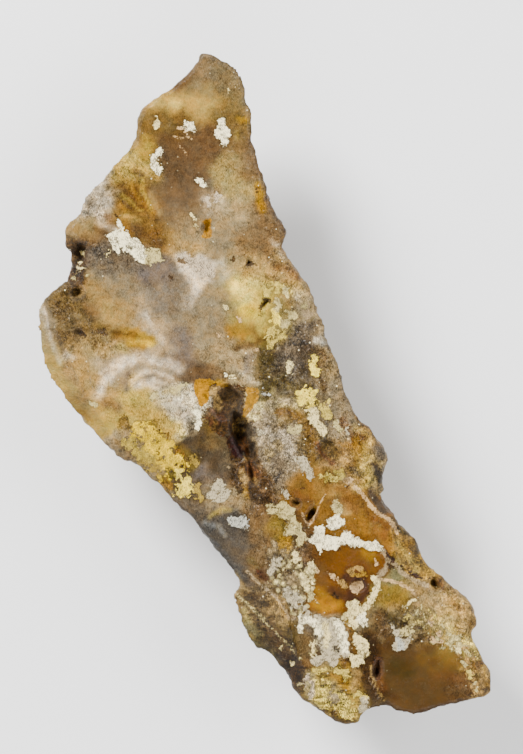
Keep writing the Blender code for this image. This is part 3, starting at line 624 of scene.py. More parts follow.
# Marks with an edge: tint, width, points. A width of 0 fills the points' outline
GRAINED = table(
    "grit 0 0,-1.6 2,-2 4.6,-2 5.6,-2.4 5.4,-3.2 3,-3 2,-4.6 2.4,-6.2 2.8,-7.6 4.2,-7.4 "
        "5.4,-6.8 6.8,-7 7.4,-8 7.2,-9.2 6,-10 5.6,-10.8 6.2,-12.6 7.6,-13.2 8.8,-14.4 "
        "9.8,-16.2 9,-17.2 7.2,-16.6 5.6,-15.4 4.2,-15 3.8,-16.4 3,-17.6 1.8,-17 0.4,-16 -1,-14 "
        "-1.6,-11 -1.4,-8.6 -0.6,-7 0,-4.4",
    "bone 1.8 -2.2,-5.2 -1.2,-5.6",
    "pearl 1.8 3.6,-8.8 5,-11.4 5.6,-13.4",
    "pearl 1.4 0.6,-8.6 1.8,-9.6",
    "khaki 1.8 0.8,-12.6 1.6,-14",
    "ash_brown 2 2.4,-14.6 3.4,-15.4",
    "khaki 1.2 2.6,-10.8 3.4,-11.6",
    "ash_brown 1.8 2.8,-17.6 3.6,-19.2",
    "stone 1.6 14.2,-7.2 16.2,-9.6",
    "smoke 2.4 6,9.8 5.4,6.4",
)
PLUMES = table(
    "primrose 0 -26.6,-8.4 -26,-7.4 -24.8,-6.6 -23.4,-6.6 -22.8,-7.8 -21.6,-8 -20.4,-8.8 "
        "-19.4,-10 -18.2,-10.6 -17.6,-11.6 -17.8,-12.8 -16.4,-13.8 -15.6,-14.8 -15.4,-15.8 "
        "-16.4,-16.4 -17.8,-17 -18.2,-18.2 -18.8,-19.2 -20,-18.6 -21.2,-17.4 -22.2,-15.8 "
        "-23.6,-14.6 -25.4,-13 -26.6,-11.2 -26.9,-9.8",
    "straw 2.4 -26.2,-11 -24.2,-13.4 -22.6,-14.6",
    "custard 1.4 -14.8,-13.9 -13.6,-15",
    "butter 0 -17.9,-16.2 -16.6,-15.9 -15.8,-17 -15,-18.6 -14.1,-20.2 -14.6,-21.4 "
        "-16.2,-22.1 -17.4,-21.7 -18,-20.2 -17.7,-18.4",
    "custard 1.3 -13.2,-20.2 -12.8,-21.6",
    "custard 1.1 -24.8,-15.2 -23.6,-15.4",
    "custard 1.8 -21.8,-15.6 -20.4,-16.8",
    "butter 0 1,16 2,16.2 2.8,14.6 2.6,12.8 1.6,12.4 0.6,13.2 0.2,15",
    "cream 2 1.2,9.6 1.2,8.4",
    "cream 0 0,21.2 1.2,21.6 1.6,20.4 1.4,19 0.4,18.6 -0.2,19.8",
    "bone 0 4.2,20.8 5.2,20.4 5.6,19.2 5,18.2 4.2,18.2 3.8,19.4",
    "cream 0 2.2,21 3,21.2 3.4,19.8 3.2,18.6 2.2,19",
    "bone 0 2,18.2 3.2,18.2 3.4,16.8 3,15.6 2.2,16",
    "bone 1.8 4.6,15.2 5.4,14.4",
    "bone 0 3.4,13.8 4.6,14 5.2,13 4.8,12 3.6,12.2",
    "cream 1.9 2,11 3.4,10.6",
    "rose_grey 1.4 7.6,16.8 8.6,15",
    "butter 1.9 9.8,5.6 10.2,4",
    "butter 0 6.2,-1.8 7.4,-0.6 8.2,0.4 9.6,1 10.4,0.4 10.2,-1 10,-2.4 9.4,-3.8 8,-3.6 7,-3",
    "cream 0 11,-2 12.2,-1.4 13,-3 13.4,-5 12.8,-6 11.8,-5 11,-3.4",
    "straw 1.6 12.6,-17.6 15.4,-17.2",
    "cream 0 8.6,-57 10,-56.6 12.6,-56 13,-57.4 13.6,-58.8 14.6,-60.6 16.4,-62 17.8,-63 "
        "18.4,-64.2 17.8,-65.6 16.4,-65.6 15.2,-65.4 14.4,-64.2 12.8,-63.6 10.4,-62.8 8.6,-61.2 "
        "8.8,-59.2",
    "milk 1.3 8.8,-57.6 9.4,-59.8 9.2,-61.4",
    "cream 1.4 15.2,-56.4 16.2,-57.4",
    "cream 1.2 17.8,-61.6 19.2,-61.8",
    "chalk 1.4 19.4,-62.6 19.8,-64.2",
    "cream 0.7 13.9,-58.6 14.2,-60.2 15.6,-61.6",
)
BEADS = table(
    "bone 0 3.4,-34.4 5,-35 6.4,-35.6 8,-35.4 9.8,-36.4 9.8,-38.4 9.9,-40 9.4,-42 8.6,-44 "
        "7,-44.6 5.4,-44.2 4.4,-42.4 3.2,-40.8 1.6,-39.4 1.4,-37.8 3,-36.4",
    "ivory 1.6 8.2,-37 8.9,-39.4 9.2,-41.6",
    "chalk 2 4.6,-41 6.2,-43",
    "stone 2.2 4.8,-36.8 6,-38.8",
    "stone 1.6 1.2,-31.6 2.8,-33.2",
    "bone 2.6 34.6,-49.6 38.6,-50.8 40,-52.4",
    "peach 3 40.3,-53.4 42,-57.4 43,-60.2",
    "olive_sand 2.2 29.6,-46 32.6,-46.6 34.6,-47.8",
)
SHARP = table(
    "marigold 0 -13.8,1.9 -12.4,2.1 -10.9,2.2 -10.2,1.4 -10.6,0.2 -10.8,-1.4 -11.6,-2.6 "
        "-12.6,-3.6 -13.2,-3 -13.6,-1.2 -13.9,0.4",
    "gold 0.9 -10.6,1.3 -8.6,0.9 -7.4,0.4",
    "apricot 0 -3.9,0.6 -2.4,0.4 -0.9,0.1 -0.7,-1 -1.3,-2.4 -2.2,-3.8 -3.2,-5.4 -4.6,-6.8 "
        "-4.3,-4.6 -3.8,-3 -3.5,-1.4",
    "marigold 0 -12.9,33.7 -12.2,33.4 -11.6,33.6 -10.5,34 -10.8,32.6 -10.5,31.6 -10.4,29.9 "
        "-11.4,30 -12.3,30 -11.8,31.2 -11.9,32.4",
)
LINES = table(
    "blush 0.3 -18,50.3 -17,49.9 -15.8,50.1 -14.9,50.4 -14.3,49.8",
    "blush 0.28 -16.9,48.7 -16,47.6 -15.2,46.2",
    "ivory 0.35 -7.1,59.8 -6.9,59",
    "blush 0.75 18.2,-19.8 19.4,-20.6 20.4,-21.8 21.6,-23.3 22.8,-24.6 24.2,-25.6 25.8,-27 "
        "26.6,-28.8",
    "blush 0.35 7.5,-25 8.2,-26.6 9,-27.5 9.8,-26.3 11,-24.3 11.6,-22.2 12.2,-21.2",
    "tan 0.35 9.3,-24.6 9.9,-23.4 10,-22.2",
    "rose_grey 1 23.8,-32.6 25,-34.2 26.2,-35.4 27.2,-36.6 28.8,-37.6 30.6,-38.5 32.4,-39.2",
    "blush 0.7 23.4,-38.2 25.6,-38.6 27.6,-39.2 29.2,-40 30.2,-40.8",
    "rose_grey 0.6 22.8,-37 24.2,-36 24.8,-34.4",
    "rose_grey 0.5 -3.6,-36.8 -1.4,-38.4 0.4,-40 2,-41 3.3,-42.5 4.3,-44.6 5,-46",
    "coffee 0.4 1,-39.2 2.8,-40.8 4,-42.4 4.9,-44.2 5.5,-46",
    "coffee 0.35 6.2,-44.2 6.8,-44.6 6.8,-45.4 6.3,-45.9",
    "tan 0.4 21.3,-55.2 21.4,-56.8 22.4,-58.8 23.4,-60.8 24,-62.4",
    "lilac 0.3 20.8,-57.4 22,-60 23.2,-62.2",
    "bone 0.34 -5.8,-40.9 0.4,-47 6.4,-52.8",
    "bone 0.26 -4.8,-41.4 0.6,-46.4",
    "milk 0.3 -17.2,1.5 -15.6,0.3",
    "rose_grey 0.25 -35.6,4.1 -34.8,1.4 -34.1,-1.1",
)
WHITES = table(
    "ivory 0 -21.9,54.8 -21.2,54.4 -20.8,53.4 -20.8,52.5 -21.6,52.1 -22.1,52.9 -21.8,53.9",
    "porcelain 0 -16.2,54 -15.3,53.5 -14.2,53.2 -13.7,52.4 -12.9,51.4 -14,51.5 -15,51.9 "
        "-15.7,52.6 -16,53.2",
    "blush 0.5 -17.3,52 -16.2,51.8 -15.2,50.8",
    "porcelain 0 -9.6,53.7 -8.6,54.1 -7.8,53.7 -7.5,52.6 -6.8,51.4 -6.7,50.4 -7.5,50 "
        "-7.6,48.8 -8.4,48.3 -8.9,49.4 -9.7,50.4 -10,51.4 -9.5,52.6",
    "porcelain 0 -21.3,48.5 -20.3,48 -20.8,47 -21.3,46.4 -21.5,45.6 -21.3,44.7 -20.3,43.9 "
        "-20.5,43.1 -21.4,43.5 -22.5,44.2 -22.8,45.4 -22.5,46.5 -21.7,46.9 -21.8,47.7",
    "porcelain 0 -13.3,42.6 -12.8,42.2 -12.5,41.3 -11.8,40.4 -12.5,40.3 -13.2,41.3 "
        "-13.9,41.6",
    "porcelain 0 -29.8,33.9 -29.2,33.7 -28.5,32.8 -27.3,31.4 -26.7,30.8 -27,30.3 -27.8,30.9 "
        "-28.7,31.6 -29.5,32.6",
    "porcelain 0 -31.8,30.4 -30.6,31.3 -29.4,31.5 -28.2,31 -27,30.3 -26,29.9 -25.1,29 "
        "-24.3,27.8 -23.4,27.6 -23.6,24.8 -24.6,25.3 -25.8,25.7 -26.8,26.7 -28,26.9 -28.6,27.6 "
        "-29,26.7 -29.7,27.9 -30.3,29.4 -31.1,29.5",
    "bone 0 -23.6,27.6 -22,28.4 -21.3,28.2 -20.8,26.8 -20.5,25.6 -21.6,25.3 -22.6,24.9 "
        "-23.8,24.8",
    "ivory 0.6 -31.2,27.9 -31.1,27.4",
    # The next seven marks are painted glints: small sparkles of light on the dark facet at the
    # lower left.
    "ivory 0.7 7.1,-59.1 7.3,-59.3",
    "ivory 0.5 5.7,-54.9 5.8,-55.1",
    "bone 0.5 8.5,-59 8.7,-59.3",
    "bone 0.4 8.4,-60.3 8.5,-60.4",
    "bone 0.4 7.5,-54.1 7.6,-54.2",
    "bone 0.35 3.4,-51.5 3.5,-51.6",
    "bone 0.35 5.4,-51.6 5.5,-51.6",
    "ivory 0.5 -31.4,26.7 -30.8,26.9",
    # Painted glint: a small bright sparkle in the floor pit.
    "porcelain 0.4 -4,-13.2 -4.2,-13.7 -3.9,-14.2",
    "rose_grey 0.5 -7.6,-15.4 -7.5,-15.7",
    "rose_grey 0.4 -6.9,-12.2 -6.9,-12.7",
    "bone 1.4 5.4,-8.2 6.6,-8.4 6.9,-7.8",
    "snow 0.5 -0.2,0.4 0,-0.3",
    "milk 0.9 -11.3,37.8 -11.1,36.8",
    "milk 0.8 -9.6,38.8 -8.9,38.4 -9.6,37.6",
    "ivory 0.5 -14.6,34.7 -13.9,34.3",
    "ivory 0.5 -13.9,32.9 -13.6,32.3",
    "chalk 0.8 -1.2,-8.4 -0.6,-8.9",
    "milk 1.4 -16.6,26.2 -15.4,26.2 -14.2,25.4",
    "milk 1.6 -12.8,25.4 -11.4,24.4 -10.8,23.2",
    "milk 1 -14,23.8 -12.6,22.6",
    "ivory 0.8 -7.8,16.6 -7.8,16.3",
    "ivory 0.6 -37.1,23.9 -36.7,23.9",
    "ivory 0.5 -36.4,27 -36.2,26.8",
    "bone 0.5 -38,22.4 -37.8,22",
    "ivory 0.5 -36.8,25.4 -36.6,25.2",
    "bone 0.5 -35.8,22.8 -35.6,22.6",
    "blush 0.6 -5.6,14.4 -4.8,13.3",
    "blush 0.7 -9.1,10.7 -8.9,10.5",
    "blush 0.5 -1.5,7.8 -1.3,7.8",
    "porcelain 0.6 -7.5,2.4 -7.3,2.1",
    "ivory 0.5 -6.4,2.1 -6,2",
    "porcelain 0.9 -14.1,-4.4 -13.3,-4.8 -12.9,-5.8 -12.9,-6.8 -13.3,-7.3",
    "milk 1 -16.4,-5.2 -15,-5",
    "bone 0.9 -22.4,-2 -21.6,-1.2",
    "chalk 0.8 -20.9,-1 -20.2,-1.8",
    "bone 0.8 -16.6,0.2 -15.6,0.8",
    "bone 0.7 -17.8,-0.4 -17.2,-0.8",
    "chalk 1.2 -19.6,-3.2 -17.8,-4",
    "bone 0.5 -34.8,-2.8 -33.8,-3.2",
    "ivory 1.2 5.1,5 5.1,3.8",
    "bone 0.9 7.9,16.4 8.2,16.3",
    "snow 0.4 -0.2,0.1 0.6,-1.2",
    "ivory 0 8.2,-4.4 9,-4.6 9.6,-4 10.4,-4.2 11,-5.4 11.2,-6.4 12,-7.6 12.6,-9 11.8,-9.8 "
        "11,-9.2 10.2,-8 9.2,-7.4 8.8,-6",
    "bone 0.9 14.4,-7 14.8,-8",
    "chalk 0.5 16.4,-7.4 16.8,-9",
    "cream 1 11.6,-17.6 12.6,-17.4",
    "cream 1.2 14,-18.2 15.4,-17.8",
    "blush 1.1 16.2,-18.8 16.8,-18.2",
    "chalk 0 7.4,-13.4 8.6,-13.8 9.2,-15.4 10.2,-17.2 9.6,-18.4 8.8,-17.6 7.8,-16.4 6.6,-15 "
        "6,-13.8",
    "chalk 0 -11.6,-21.2 -10.6,-20.2 -9.6,-18.4 -8.2,-18 -8,-19.4 -7.2,-20.4 -7.4,-22 "
        "-8.6,-23 -9.8,-22.8 -10.8,-22.4",
    "snow 0 -7.6,-26 -6.6,-25.6 -5.4,-26 -4.2,-25.6 -3.4,-26.6 -3.2,-27.8 -4.2,-28.2 "
        "-5.2,-27.7 -6.2,-27.6 -7.2,-27",
    "bone 0 13.6,-23 14.4,-22.6 15.4,-23.2 16,-24 15.6,-24.8 14.6,-25 13.8,-24.4",
    "porcelain 0 12.2,-26.6 13,-25.8 14.2,-25.6 15.4,-25.8 16.4,-26.6 16,-27.8 14.8,-28 "
        "13.4,-28.2 12.6,-27.8",
    "porcelain 0 8.8,-30.2 9.8,-29.3 10.4,-28.1 11.4,-27.6 12,-28 12.2,-29.4 13.4,-29.6 "
        "14.6,-29.6 15.4,-29 16.4,-28.6 17.6,-28.9 18.6,-29.6 19.6,-30.2 20.8,-30.6 22.4,-30.4 "
        "23.4,-31.2 24.2,-32.4 23.2,-32.4 22.4,-32.1 21.2,-32.3 20,-31.8 19.2,-31.3 18.4,-31.7 "
        "17.4,-31.3 16.4,-31.1 15.2,-31.3 14,-31.7 13,-32.2 12,-31.8 11.4,-32.9 10.8,-32 "
        "10.2,-31 9,-31",
    "bone 0 0.6,-22.9 1.6,-22.6 2.2,-23.6 3,-22.6 3.9,-22.6 4.6,-23.5 5.8,-24 6.1,-25.5 "
        "6.8,-26.3 7.5,-27 7.7,-28.4 8.5,-29.5 8.9,-30.2 7.6,-30.1 6.4,-29.5 5.2,-28.7 "
        "4.4,-27.9 4.9,-27.2 4.4,-26.3 3.6,-26.1 2.6,-25.7 1.9,-25.1 1,-24.2",
    "chalk 0 3.4,-20.2 4.4,-20.3 5,-21.3 4.4,-22 3.4,-21.3",
    "ivory 0 6,-32.2 6.8,-32.5 7.3,-33.8 6.8,-34.8 5.8,-34.5 5.6,-33.5",
    "bone 0.9 6.8,-30.8 7.3,-31.2",
    "bone 0.8 4.6,-28.2 4.9,-29.2",
    "chalk 0 1.6,-34 3.2,-33.9 3.8,-34.8 3.2,-36 2.2,-36.8 1.4,-37.8 0.8,-36.6 1.5,-35.5",
    "ivory 1.6 9.3,-35.2 9.5,-35.8",
    "bone 1.1 8,-37 8.1,-37.4",
    "ivory 1.3 8.5,-38.8 8.5,-40",
    "bone 1.2 9.4,-41 9.4,-41.6",
    "chalk 1.3 6.4,-41.6 7.2,-42.4",
    "chalk 1.2 4.6,-40.8 5.2,-42.4 6,-43.6",
    "chalk 1.1 7.6,-43.6 8.6,-44.6",
    "blush 0 13,-36.7 13.8,-36.6 14.4,-37.5 15,-38.3 14.3,-38.6 13.4,-37.8",
    "peach 1.3 15.6,-39.1 16.2,-39.6",
    "peach 1 17.1,-36.3 17.3,-37",
    "peach 1 18.5,-35.7 19.2,-36.1",
    "sand_band 0.9 18.1,-37.3 18.8,-37.5",
    "sand_band 0.7 19.8,-37 20.2,-37.6",
    "blush 0 17.5,-40.6 17.3,-39.6 18.1,-38.7 19.2,-38.7 19.9,-39.4 19.5,-40.4 18.7,-40.8 "
        "17.9,-41.2",
    "blush 0.4 10.6,-35.8 10.9,-36.5",
    "blush 0.6 22.3,-34.2 22.5,-35.2",
    "ivory 1.3 21.8,-38 22.6,-39 22.4,-40.2 21.6,-41.6 21,-43 20,-43.9",
    "ivory 1.2 19.6,-44.2 18.2,-44.2 17.3,-43",
    "bone 0.9 17.2,-44.6 16,-45.6",
    "rose_grey 0.9 23,-37.6 24.2,-36 24.8,-34",
    "chalk 0 6.6,-45.6 8,-45.2 9.6,-45.6 11,-45.3 12,-46.1 13,-45.8 14.6,-45.4 15.6,-46 "
        "16,-47.4 16.6,-49 17,-50.6 17,-52 17,-53.8 16,-53.6 15.2,-53 14.8,-54.4 14.2,-55.8 "
        "13.2,-55.6 12.6,-54.2 11.8,-54.8 10.8,-55.4 9.6,-54.8 9.3,-54 10.6,-53.4 11.8,-53.4 "
        "11.6,-52.2 11.2,-50.6 10.6,-49.4 10.2,-48 9.6,-47.2 8.8,-46.8 8.2,-47.2 7.9,-48.4 "
        "7.6,-49.2 6.6,-49 6.2,-48.2 6.7,-47.2",
    "porcelain 0.8 7.2,-46 9.6,-46.2 10.4,-47.2 11.2,-49",
    "porcelain 1.2 14.4,-46.4 15.4,-48 16.2,-50.4 16.4,-52.4",
    "ivory 0.9 12,-47.4 12.6,-49.6 12.8,-51.6",
    "porcelain 0.9 7.2,-47.4 7.2,-48.8",
    "ivory 0.8 9.6,-50.4 9.8,-51.6 9.9,-53",
    "porcelain 0 19,-44.6 20.4,-45.2 20.8,-46.6 20.4,-47.5 19.2,-47.4 18.4,-46.6 18.4,-45.6",
    "ivory 1.3 18.6,-43 17.8,-44.4 17.6,-45.8 18,-47.2",
    "ivory 1.6 18.4,-44.6 20.2,-44 21.4,-42.8",
    "ivory 0 18,-48.8 19.4,-49.4 20.4,-50.8 21.2,-52.2 20.8,-53.6 19.8,-55 18.8,-56 "
        "17.6,-56 17,-54.6 17.4,-53.4 18.6,-53.8 19,-52.6 18.6,-51 18,-49.8",
    "chalk 0 25.5,-46.9 26.3,-47.6 27.2,-48.1 27.6,-49.2 26.7,-49.3 26.2,-48.5",
    "chalk 0 26.4,-49.5 27.2,-49.4 27.8,-50.2 28.4,-49.7 29.2,-49.8 29.3,-50.6 28.5,-51 "
        "28.7,-51.7 27.9,-52.3 27,-52.3 26.1,-51.7 25.9,-50.8 26.6,-50.6",
    "snow 0.7 26.9,-49.8 27.4,-50.8 27.6,-51.8",
    "bone 0.8 27.8,-48.4 28.8,-48.2 29.8,-48.8",
    "bone 0.7 28.4,-49.2 29.4,-48.6",
    "ivory 0.5 28.3,-43.8 28.8,-42.9 30,-42.3",
    "blush 0.9 33.2,-46.6 33.5,-46.9",
    "bone 0.8 36.6,-50.9 37.6,-51",
    "ivory 0.9 38.6,-51.8 39.2,-53",
    "bone 0.7 39.6,-54.6 40.2,-55.6",
    "cream 0.8 41,-56.6 41.4,-57.8",
    "bone 0.6 42.2,-59 42.6,-60",
    "bone 0.6 40.8,-52.6 41.2,-53.2",
    "blush 0.6 34.6,-48.6 35.4,-49.2",
    "bone 0.7 37.4,-48.6 38.2,-49.4",
    "cream 0.6 28.6,-45.6 29.4,-45.2",
    "bone 0.5 29.6,-47.4 30.2,-47.6",
    "bone 0.5 31.2,-43.4 31.6,-43.8",
    "cream 0.6 33.2,-44.2 33.8,-44.4",
    "bone 0.6 35.6,-46.8 36.2,-47.2",
    "bone 0.6 30.4,-44.4 30.7,-44.6",
    "bone 0.6 31.8,-45.4 32.2,-45.2",
    "cream 0.6 30.9,-46.6 31.2,-46.8",
    "bone 0.6 32.4,-47.4 32.8,-47.2",
    "cream 0.6 34.2,-45.4 34.4,-45.6",
    "blush 0.8 33.2,-49.8 34.6,-50.6 35.6,-50.8",
)
DARKS = table(
    "bark 0.9 -18.6,22.1 -18.5,22",
    "bark 0.6 -6.4,26.4 -6.1,25.9",
    "bark 1 -3,25.1 -2.6,25",
    "bark 1 0.3,17.5 0.6,17.3",
    "coffee 0.35 0,17 -0.6,16.2 -0.9,15 -1,14.4",
    "bark 0.45 -33.6,35.1 -33.1,35.1",
    "bark 0.35 -30,34.7 -29.7,34.6",
    "coffee 1 -16.6,25.5 -15.9,25.3",
    "coffee 0.7 -1.2,39.8 -1,39.8",
    "bark 0 -38.4,10.8 -36.8,12 -36,10.1 -36.9,10.3",
    "coffee 0 -33.6,11.2 -32,11.5 -31.4,10.7 -32.2,10.2",
    "bark 0 -10.6,1 -9.2,0.9 -9.2,0 -10.3,0",
    "antique 1.9 -27.9,-6.2 -27.4,-7.2",
    "mustard 1 -22.8,-7.2 -21.4,-7",
    "sienna 0.9 -20,-8.8 -19,-9.4",
    "amber 1 -17.6,-12.2 -16.4,-13",
    "antique 0.8 -15.4,-13.6 -15,-14.4",
    "olive 1.2 -19.1,-16.4 -18.5,-17.4",
    "ochre 1.7 -19.8,-18.6 -18.9,-19.8",
    "antique 0.6 -20.8,-14.2 -20.2,-15",
    "antique 0.35 -21,-10.4 -21,-12.6 -20.4,-13.6",
    "antique 0.35 -22,-8 -20.8,-8.6 -20,-9",
    "antique 0.35 -16,-14.8 -15.4,-15.8 -15.2,-17.2",
    "cave 0 -9.6,-1 -8.6,-0.2 -7.6,0.4 -6.4,0.6 -5.2,0.5 -4,0.2 -3.8,-1.6 -4.1,-3.2 "
        "-4.4,-4.6 -4.7,-6 -5.4,-7.2 -6.2,-8 -7.2,-9 -8.4,-9.4 -9.4,-8.8 -10.4,-8 -11.4,-7 "
        "-12.2,-5.6 -12,-4.2 -11,-3.6 -10.2,-2.2",
    "cocoa 1.6 -11,-5 -9.8,-7.2",
    "tan 1.9 -9.6,-0.5 -9.4,-2.2 -9.2,-3.4",
    "peat 1.1 -5,-0.8 -5,-2.6 -5.4,-4.6",
    "bark 1 -8.2,-1.6 -7,-2.4",
    "bark 0.9 -6.2,-0.2 -6.6,-2.4",
    "bark 0.8 -4.3,0.2 -4.1,-2.6",
    "bark 1.2 -8.6,-7.6 -7.4,-8.6",
    "cocoa 0.6 -8.4,-3.4 -7.8,-4.2",
    "bark 1.2 -6.8,-2.2 -6.4,-4.2",
    "rust 0.6 -9.6,-5.6 -8.8,-6.4",
    "bark 0.7 -7.6,-5 -7.2,-6.8",
    "peat 1.5 -6.1,-4.4 -6.7,-6.2",
    # Painted light: this mark and the next are pale tan and peach on steep pit walls, to offset
    # their shade.
    "tan 0.9 -5,-6.3 -4.3,-6.2",
    "peach 1.3 -5.4,-7.6 -4.6,-8.8",
    "umber 1.6 -2.9,-7.2 -2.3,-9.8",
    # Painted light: this mark and the next are lighter browns in a deep spot, to offset its shade.
    "umber 1.3 -8.3,-0.5 -7.9,-1",
    "cocoa 1.5 -7,-1.2 -6.6,-2.8",
    "cocoa 0.8 -10.6,-6.6 -9.8,-8",
    "dark_rust 0.7 -10.8,-4.6 -10.4,-5.2",
    "dark_rust 0.7 -9.2,-5.8 -8.8,-6.6",
    "dark_rust 0.5 -11.4,-5.8 -10.9,-6.8",
    "bark 0 -6,-7.8 -4.8,-7 -3.4,-7 -2.4,-7.6 -2.2,-9 -2.4,-10.6 -1.8,-12.6 -1.8,-14.6 "
        "-3,-15.4 -4.6,-14.8 -5.8,-13.4 -6.8,-12 -6.8,-10 -6.4,-8.8",
    "cave 1.7 -6.2,-9.6 -6.6,-11.4 -5.6,-13.4 -4.4,-13.2",
    "bark 1.3 -6.6,-12.4 -5.6,-14.4 -4.6,-15.2",
    "umber 1.2 -3.4,-11.8 -3,-13.8",
    "smoke 1.3 -2.7,-7.6 -2.3,-9.8",
    "stone 0.7 -2,-10.2 -1.8,-10.8",
    "rust 1.4 -4.4,-10.4 -4.2,-12.8",
    # Painted light: pale tan on a steep pit wall, to offset its shade.
    "tan 1.2 -5.4,-8 -4.4,-8.8",
    "peat 0.8 -2.2,-11.2 -2.4,-13.4",
    "cocoa 0.6 -5.2,-9.6 -4.8,-10.6",
    "sienna 0.6 -4.6,-13.4 -3.8,-14.2",
    "black_brown 1.5 -6.2,-10.8 -5.7,-12.6 -4.8,-13.4",
    "rust 1.5 -3.2,-15.6 -2.6,-17 -1.8,-17.2",
    "peat 1.4 -6,-17.2 -5.6,-18.4 -4.9,-20.2",
    "peat 1.3 -2.4,-20.2 -1.4,-21.4 -0.8,-22.4",
    # Painted light: honey in the slit, lighter than its dark red-brown, to offset the slit's
    # shade.
    "honey 0 8.1,-25.5 8.9,-25.6 9.6,-24.8 10.4,-23.4 11,-22.9 10.5,-24.6 9.6,-25.9 "
        "8.5,-26.1",
    "sienna 0 5.3,-22.2 6.4,-22.4 7.3,-23.2 6.6,-23.6 5.6,-23.2",
    "dark_rust 0.6 7,-19.8 7.4,-20.2",
    "bark 0.5 4.5,-26.7 4.8,-27",
    "bark 0.5 2,-23.4 2.1,-24",
    "bark 0.4 3.3,-24 3.6,-24.4",
    "bark 0.5 3.4,-36.4 2.6,-37.6",
    "bark 0.4 4.6,-36 5.2,-36.8",
    "bark 0.6 14,-41.2 14.4,-41.6",
    "dark_rust 0.5 16.4,-19.4 16.8,-19.3",
    "bark 0.4 15.6,-31.9 15.9,-31.5",
    "sienna 0 41.6,-54.2 43.6,-53.8 44.2,-55.6 42.6,-56.2",
    # Painted shadow: a black-brown line in the crevice between the face and the crust.
    "black_brown 0.6 24.6,-32.8 25.6,-33.6 26.6,-34.8 27.8,-36.1 29.6,-37.3 31.6,-38 "
        "33.2,-38.3",
    "bark 0 24.8,-34.5 25.9,-35.7 24.9,-36",
    "cave 1 22.8,-54.2 22.9,-57.4",
    "iron 0.8 14.2,-51.7 14.8,-51.9",
    "bark 0.7 14,-65.2 14.9,-65.5",
    "dark_rust 0.8 -1.1,-36.6 -0.7,-37.2",
    "iron 0.9 10.6,-3 10.9,-3.3",
)

# Places with visible saw marks
SAWING = (
    ((8.0, -57.0), (12.0, -55.6), (18.0, -59.0), (20.0, -66.0), (15.0, -67.0), (9.0, -62.0)),
    ((-6.0, -41.0), (-2.0, -42.0), (3.0, -47.0), (7.0, -54.0), (4.0, -54.0), (-1.0, -50.0),
     (-5.0, -45.0)),
)

# Kinds of marks, from the lowest to the uppermost
GROUPS = {
    "grained": GRAINED,
    "plume": PLUMES,
    "bead": BEADS,
    "sharp": SHARP,
    "line": LINES,
    "white": WHITES,
    "dark": DARKS,
}


def surface(coded):
    """Palette numbers as the colours that the shader takes."""
    return (np.asarray(coded, float) / 255.0) ** GAMMA


def linear(tint):
    """A palette colour as the shader takes it."""
    return surface(TINTS[tint])


def smooth(value, low, high):
    """A soft step from 0 at low to 1 at high."""
    t = np.clip((value - low) / (high - low), 0.0, 1.0)
    return t * t * (3.0 - 2.0 * t)


def lattice(cells, seed):
    """Repeatable values from 0 to 1 for whole-number cells."""
    mixed = cells[..., 0] * 73856093 ^ cells[..., 1] * 19349663 ^ cells[..., 2] * 83492791
    mixed = mixed ^ (seed * 265443576)
    mixed = (mixed ^ (mixed >> 13)) * 1274126177
    mixed = mixed ^ (mixed >> 16)
    return (mixed & 0xFFFFFF) / float(0xFFFFFF)


def noise(points, size, seed):
    """Soft noise from -1 to 1, with bumps about size across."""
    scaled = points / size
    cells = np.floor(scaled).astype(np.int64)
    part = scaled - cells
    part = part * part * (3.0 - 2.0 * part)
    total = np.zeros(len(points))
    for corner in np.ndindex(2, 2, 2):
        corner = np.array(corner)
        share = np.prod(np.where(corner, part, 1.0 - part), axis=1)
        total += share * lattice(cells + corner, seed)
    return total * 2.0 - 1.0


def rough_noise(points, size, seed, layers):
    """Noise with finer and weaker layers added."""
    total = np.zeros(len(points))
    strength = 1.0
    for layer in range(layers):
        total += strength * noise(points, size / 2.0 ** layer, seed + layer)
        strength *= 0.5
    return total


def nearest_cell(points, size, seed):
    """Distance to the nearest scattered point, in cells."""
    scaled = points / size
    cells = np.floor(scaled).astype(np.int64)
    nearest = np.full(len(points), np.inf)
    for offset in np.ndindex(3, 3, 3):
        there = cells + np.array(offset) - 1
        spot = there + np.stack([lattice(there, seed + axis) for axis in range(3)], axis=1)
        nearest = np.minimum(nearest, np.linalg.norm(scaled - spot, axis=1))
    return nearest


def distance_to(at, points, closed):
    """Distance from each place to a line through the points."""
    nodes = [np.array(point) for point in points]
    if len(nodes) == 1:
        return np.linalg.norm(at - nodes[0], axis=1)
    if closed:
        nodes.append(nodes[0])
    nearest = np.full(len(at), np.inf)
    for start, end in zip(nodes[:-1], nodes[1:]):
        along = end - start
        share = np.clip((at - start) @ along / (along @ along), 0.0, 1.0)
        gap = np.linalg.norm(at - start - share[:, None] * along, axis=1)
        nearest = np.minimum(nearest, gap)
    return nearest


def inside(at, points):
    """Which places the outline through the points holds."""
    held = np.zeros(len(at), bool)
    for (x0, y0), (x1, y1) in zip(points, points[1:] + points[:1]):
        crosses = (y0 > at[:, 1]) != (y1 > at[:, 1])
        with np.errstate(divide="ignore", invalid="ignore"):
            x = x0 + (at[:, 1] - y0) * (x1 - x0) / (y1 - y0)
        held ^= crosses & (at[:, 0] < x)
    return held


def depth_in(at, width, points):
    """How deep each place lies inside a mark, negative outside it."""
    depth = np.full(len(at), -FAR)
    corners = np.array(points)
    reach = FAR + width
    near = np.all((at > corners.min(0) - reach) & (at < corners.max(0) + reach), axis=1)
    places = at[near]
    if width:
        depth[near] = width / 2.0 - distance_to(places, points, False)
    else:
        away = distance_to(places, points, True)
        depth[near] = np.where(inside(places, points), away, -away)
    return np.maximum(depth, -FAR)


def warped(points, strengths, seed):
    """Plan places, shifted by noise, so that drawn edges wander."""
    moved = points[:, :2].copy()
    for size, strength in strengths:
        for axis in range(2):
            moved[:, axis] += strength * noise(points, size, seed + axis)
        seed += 2
    return moved


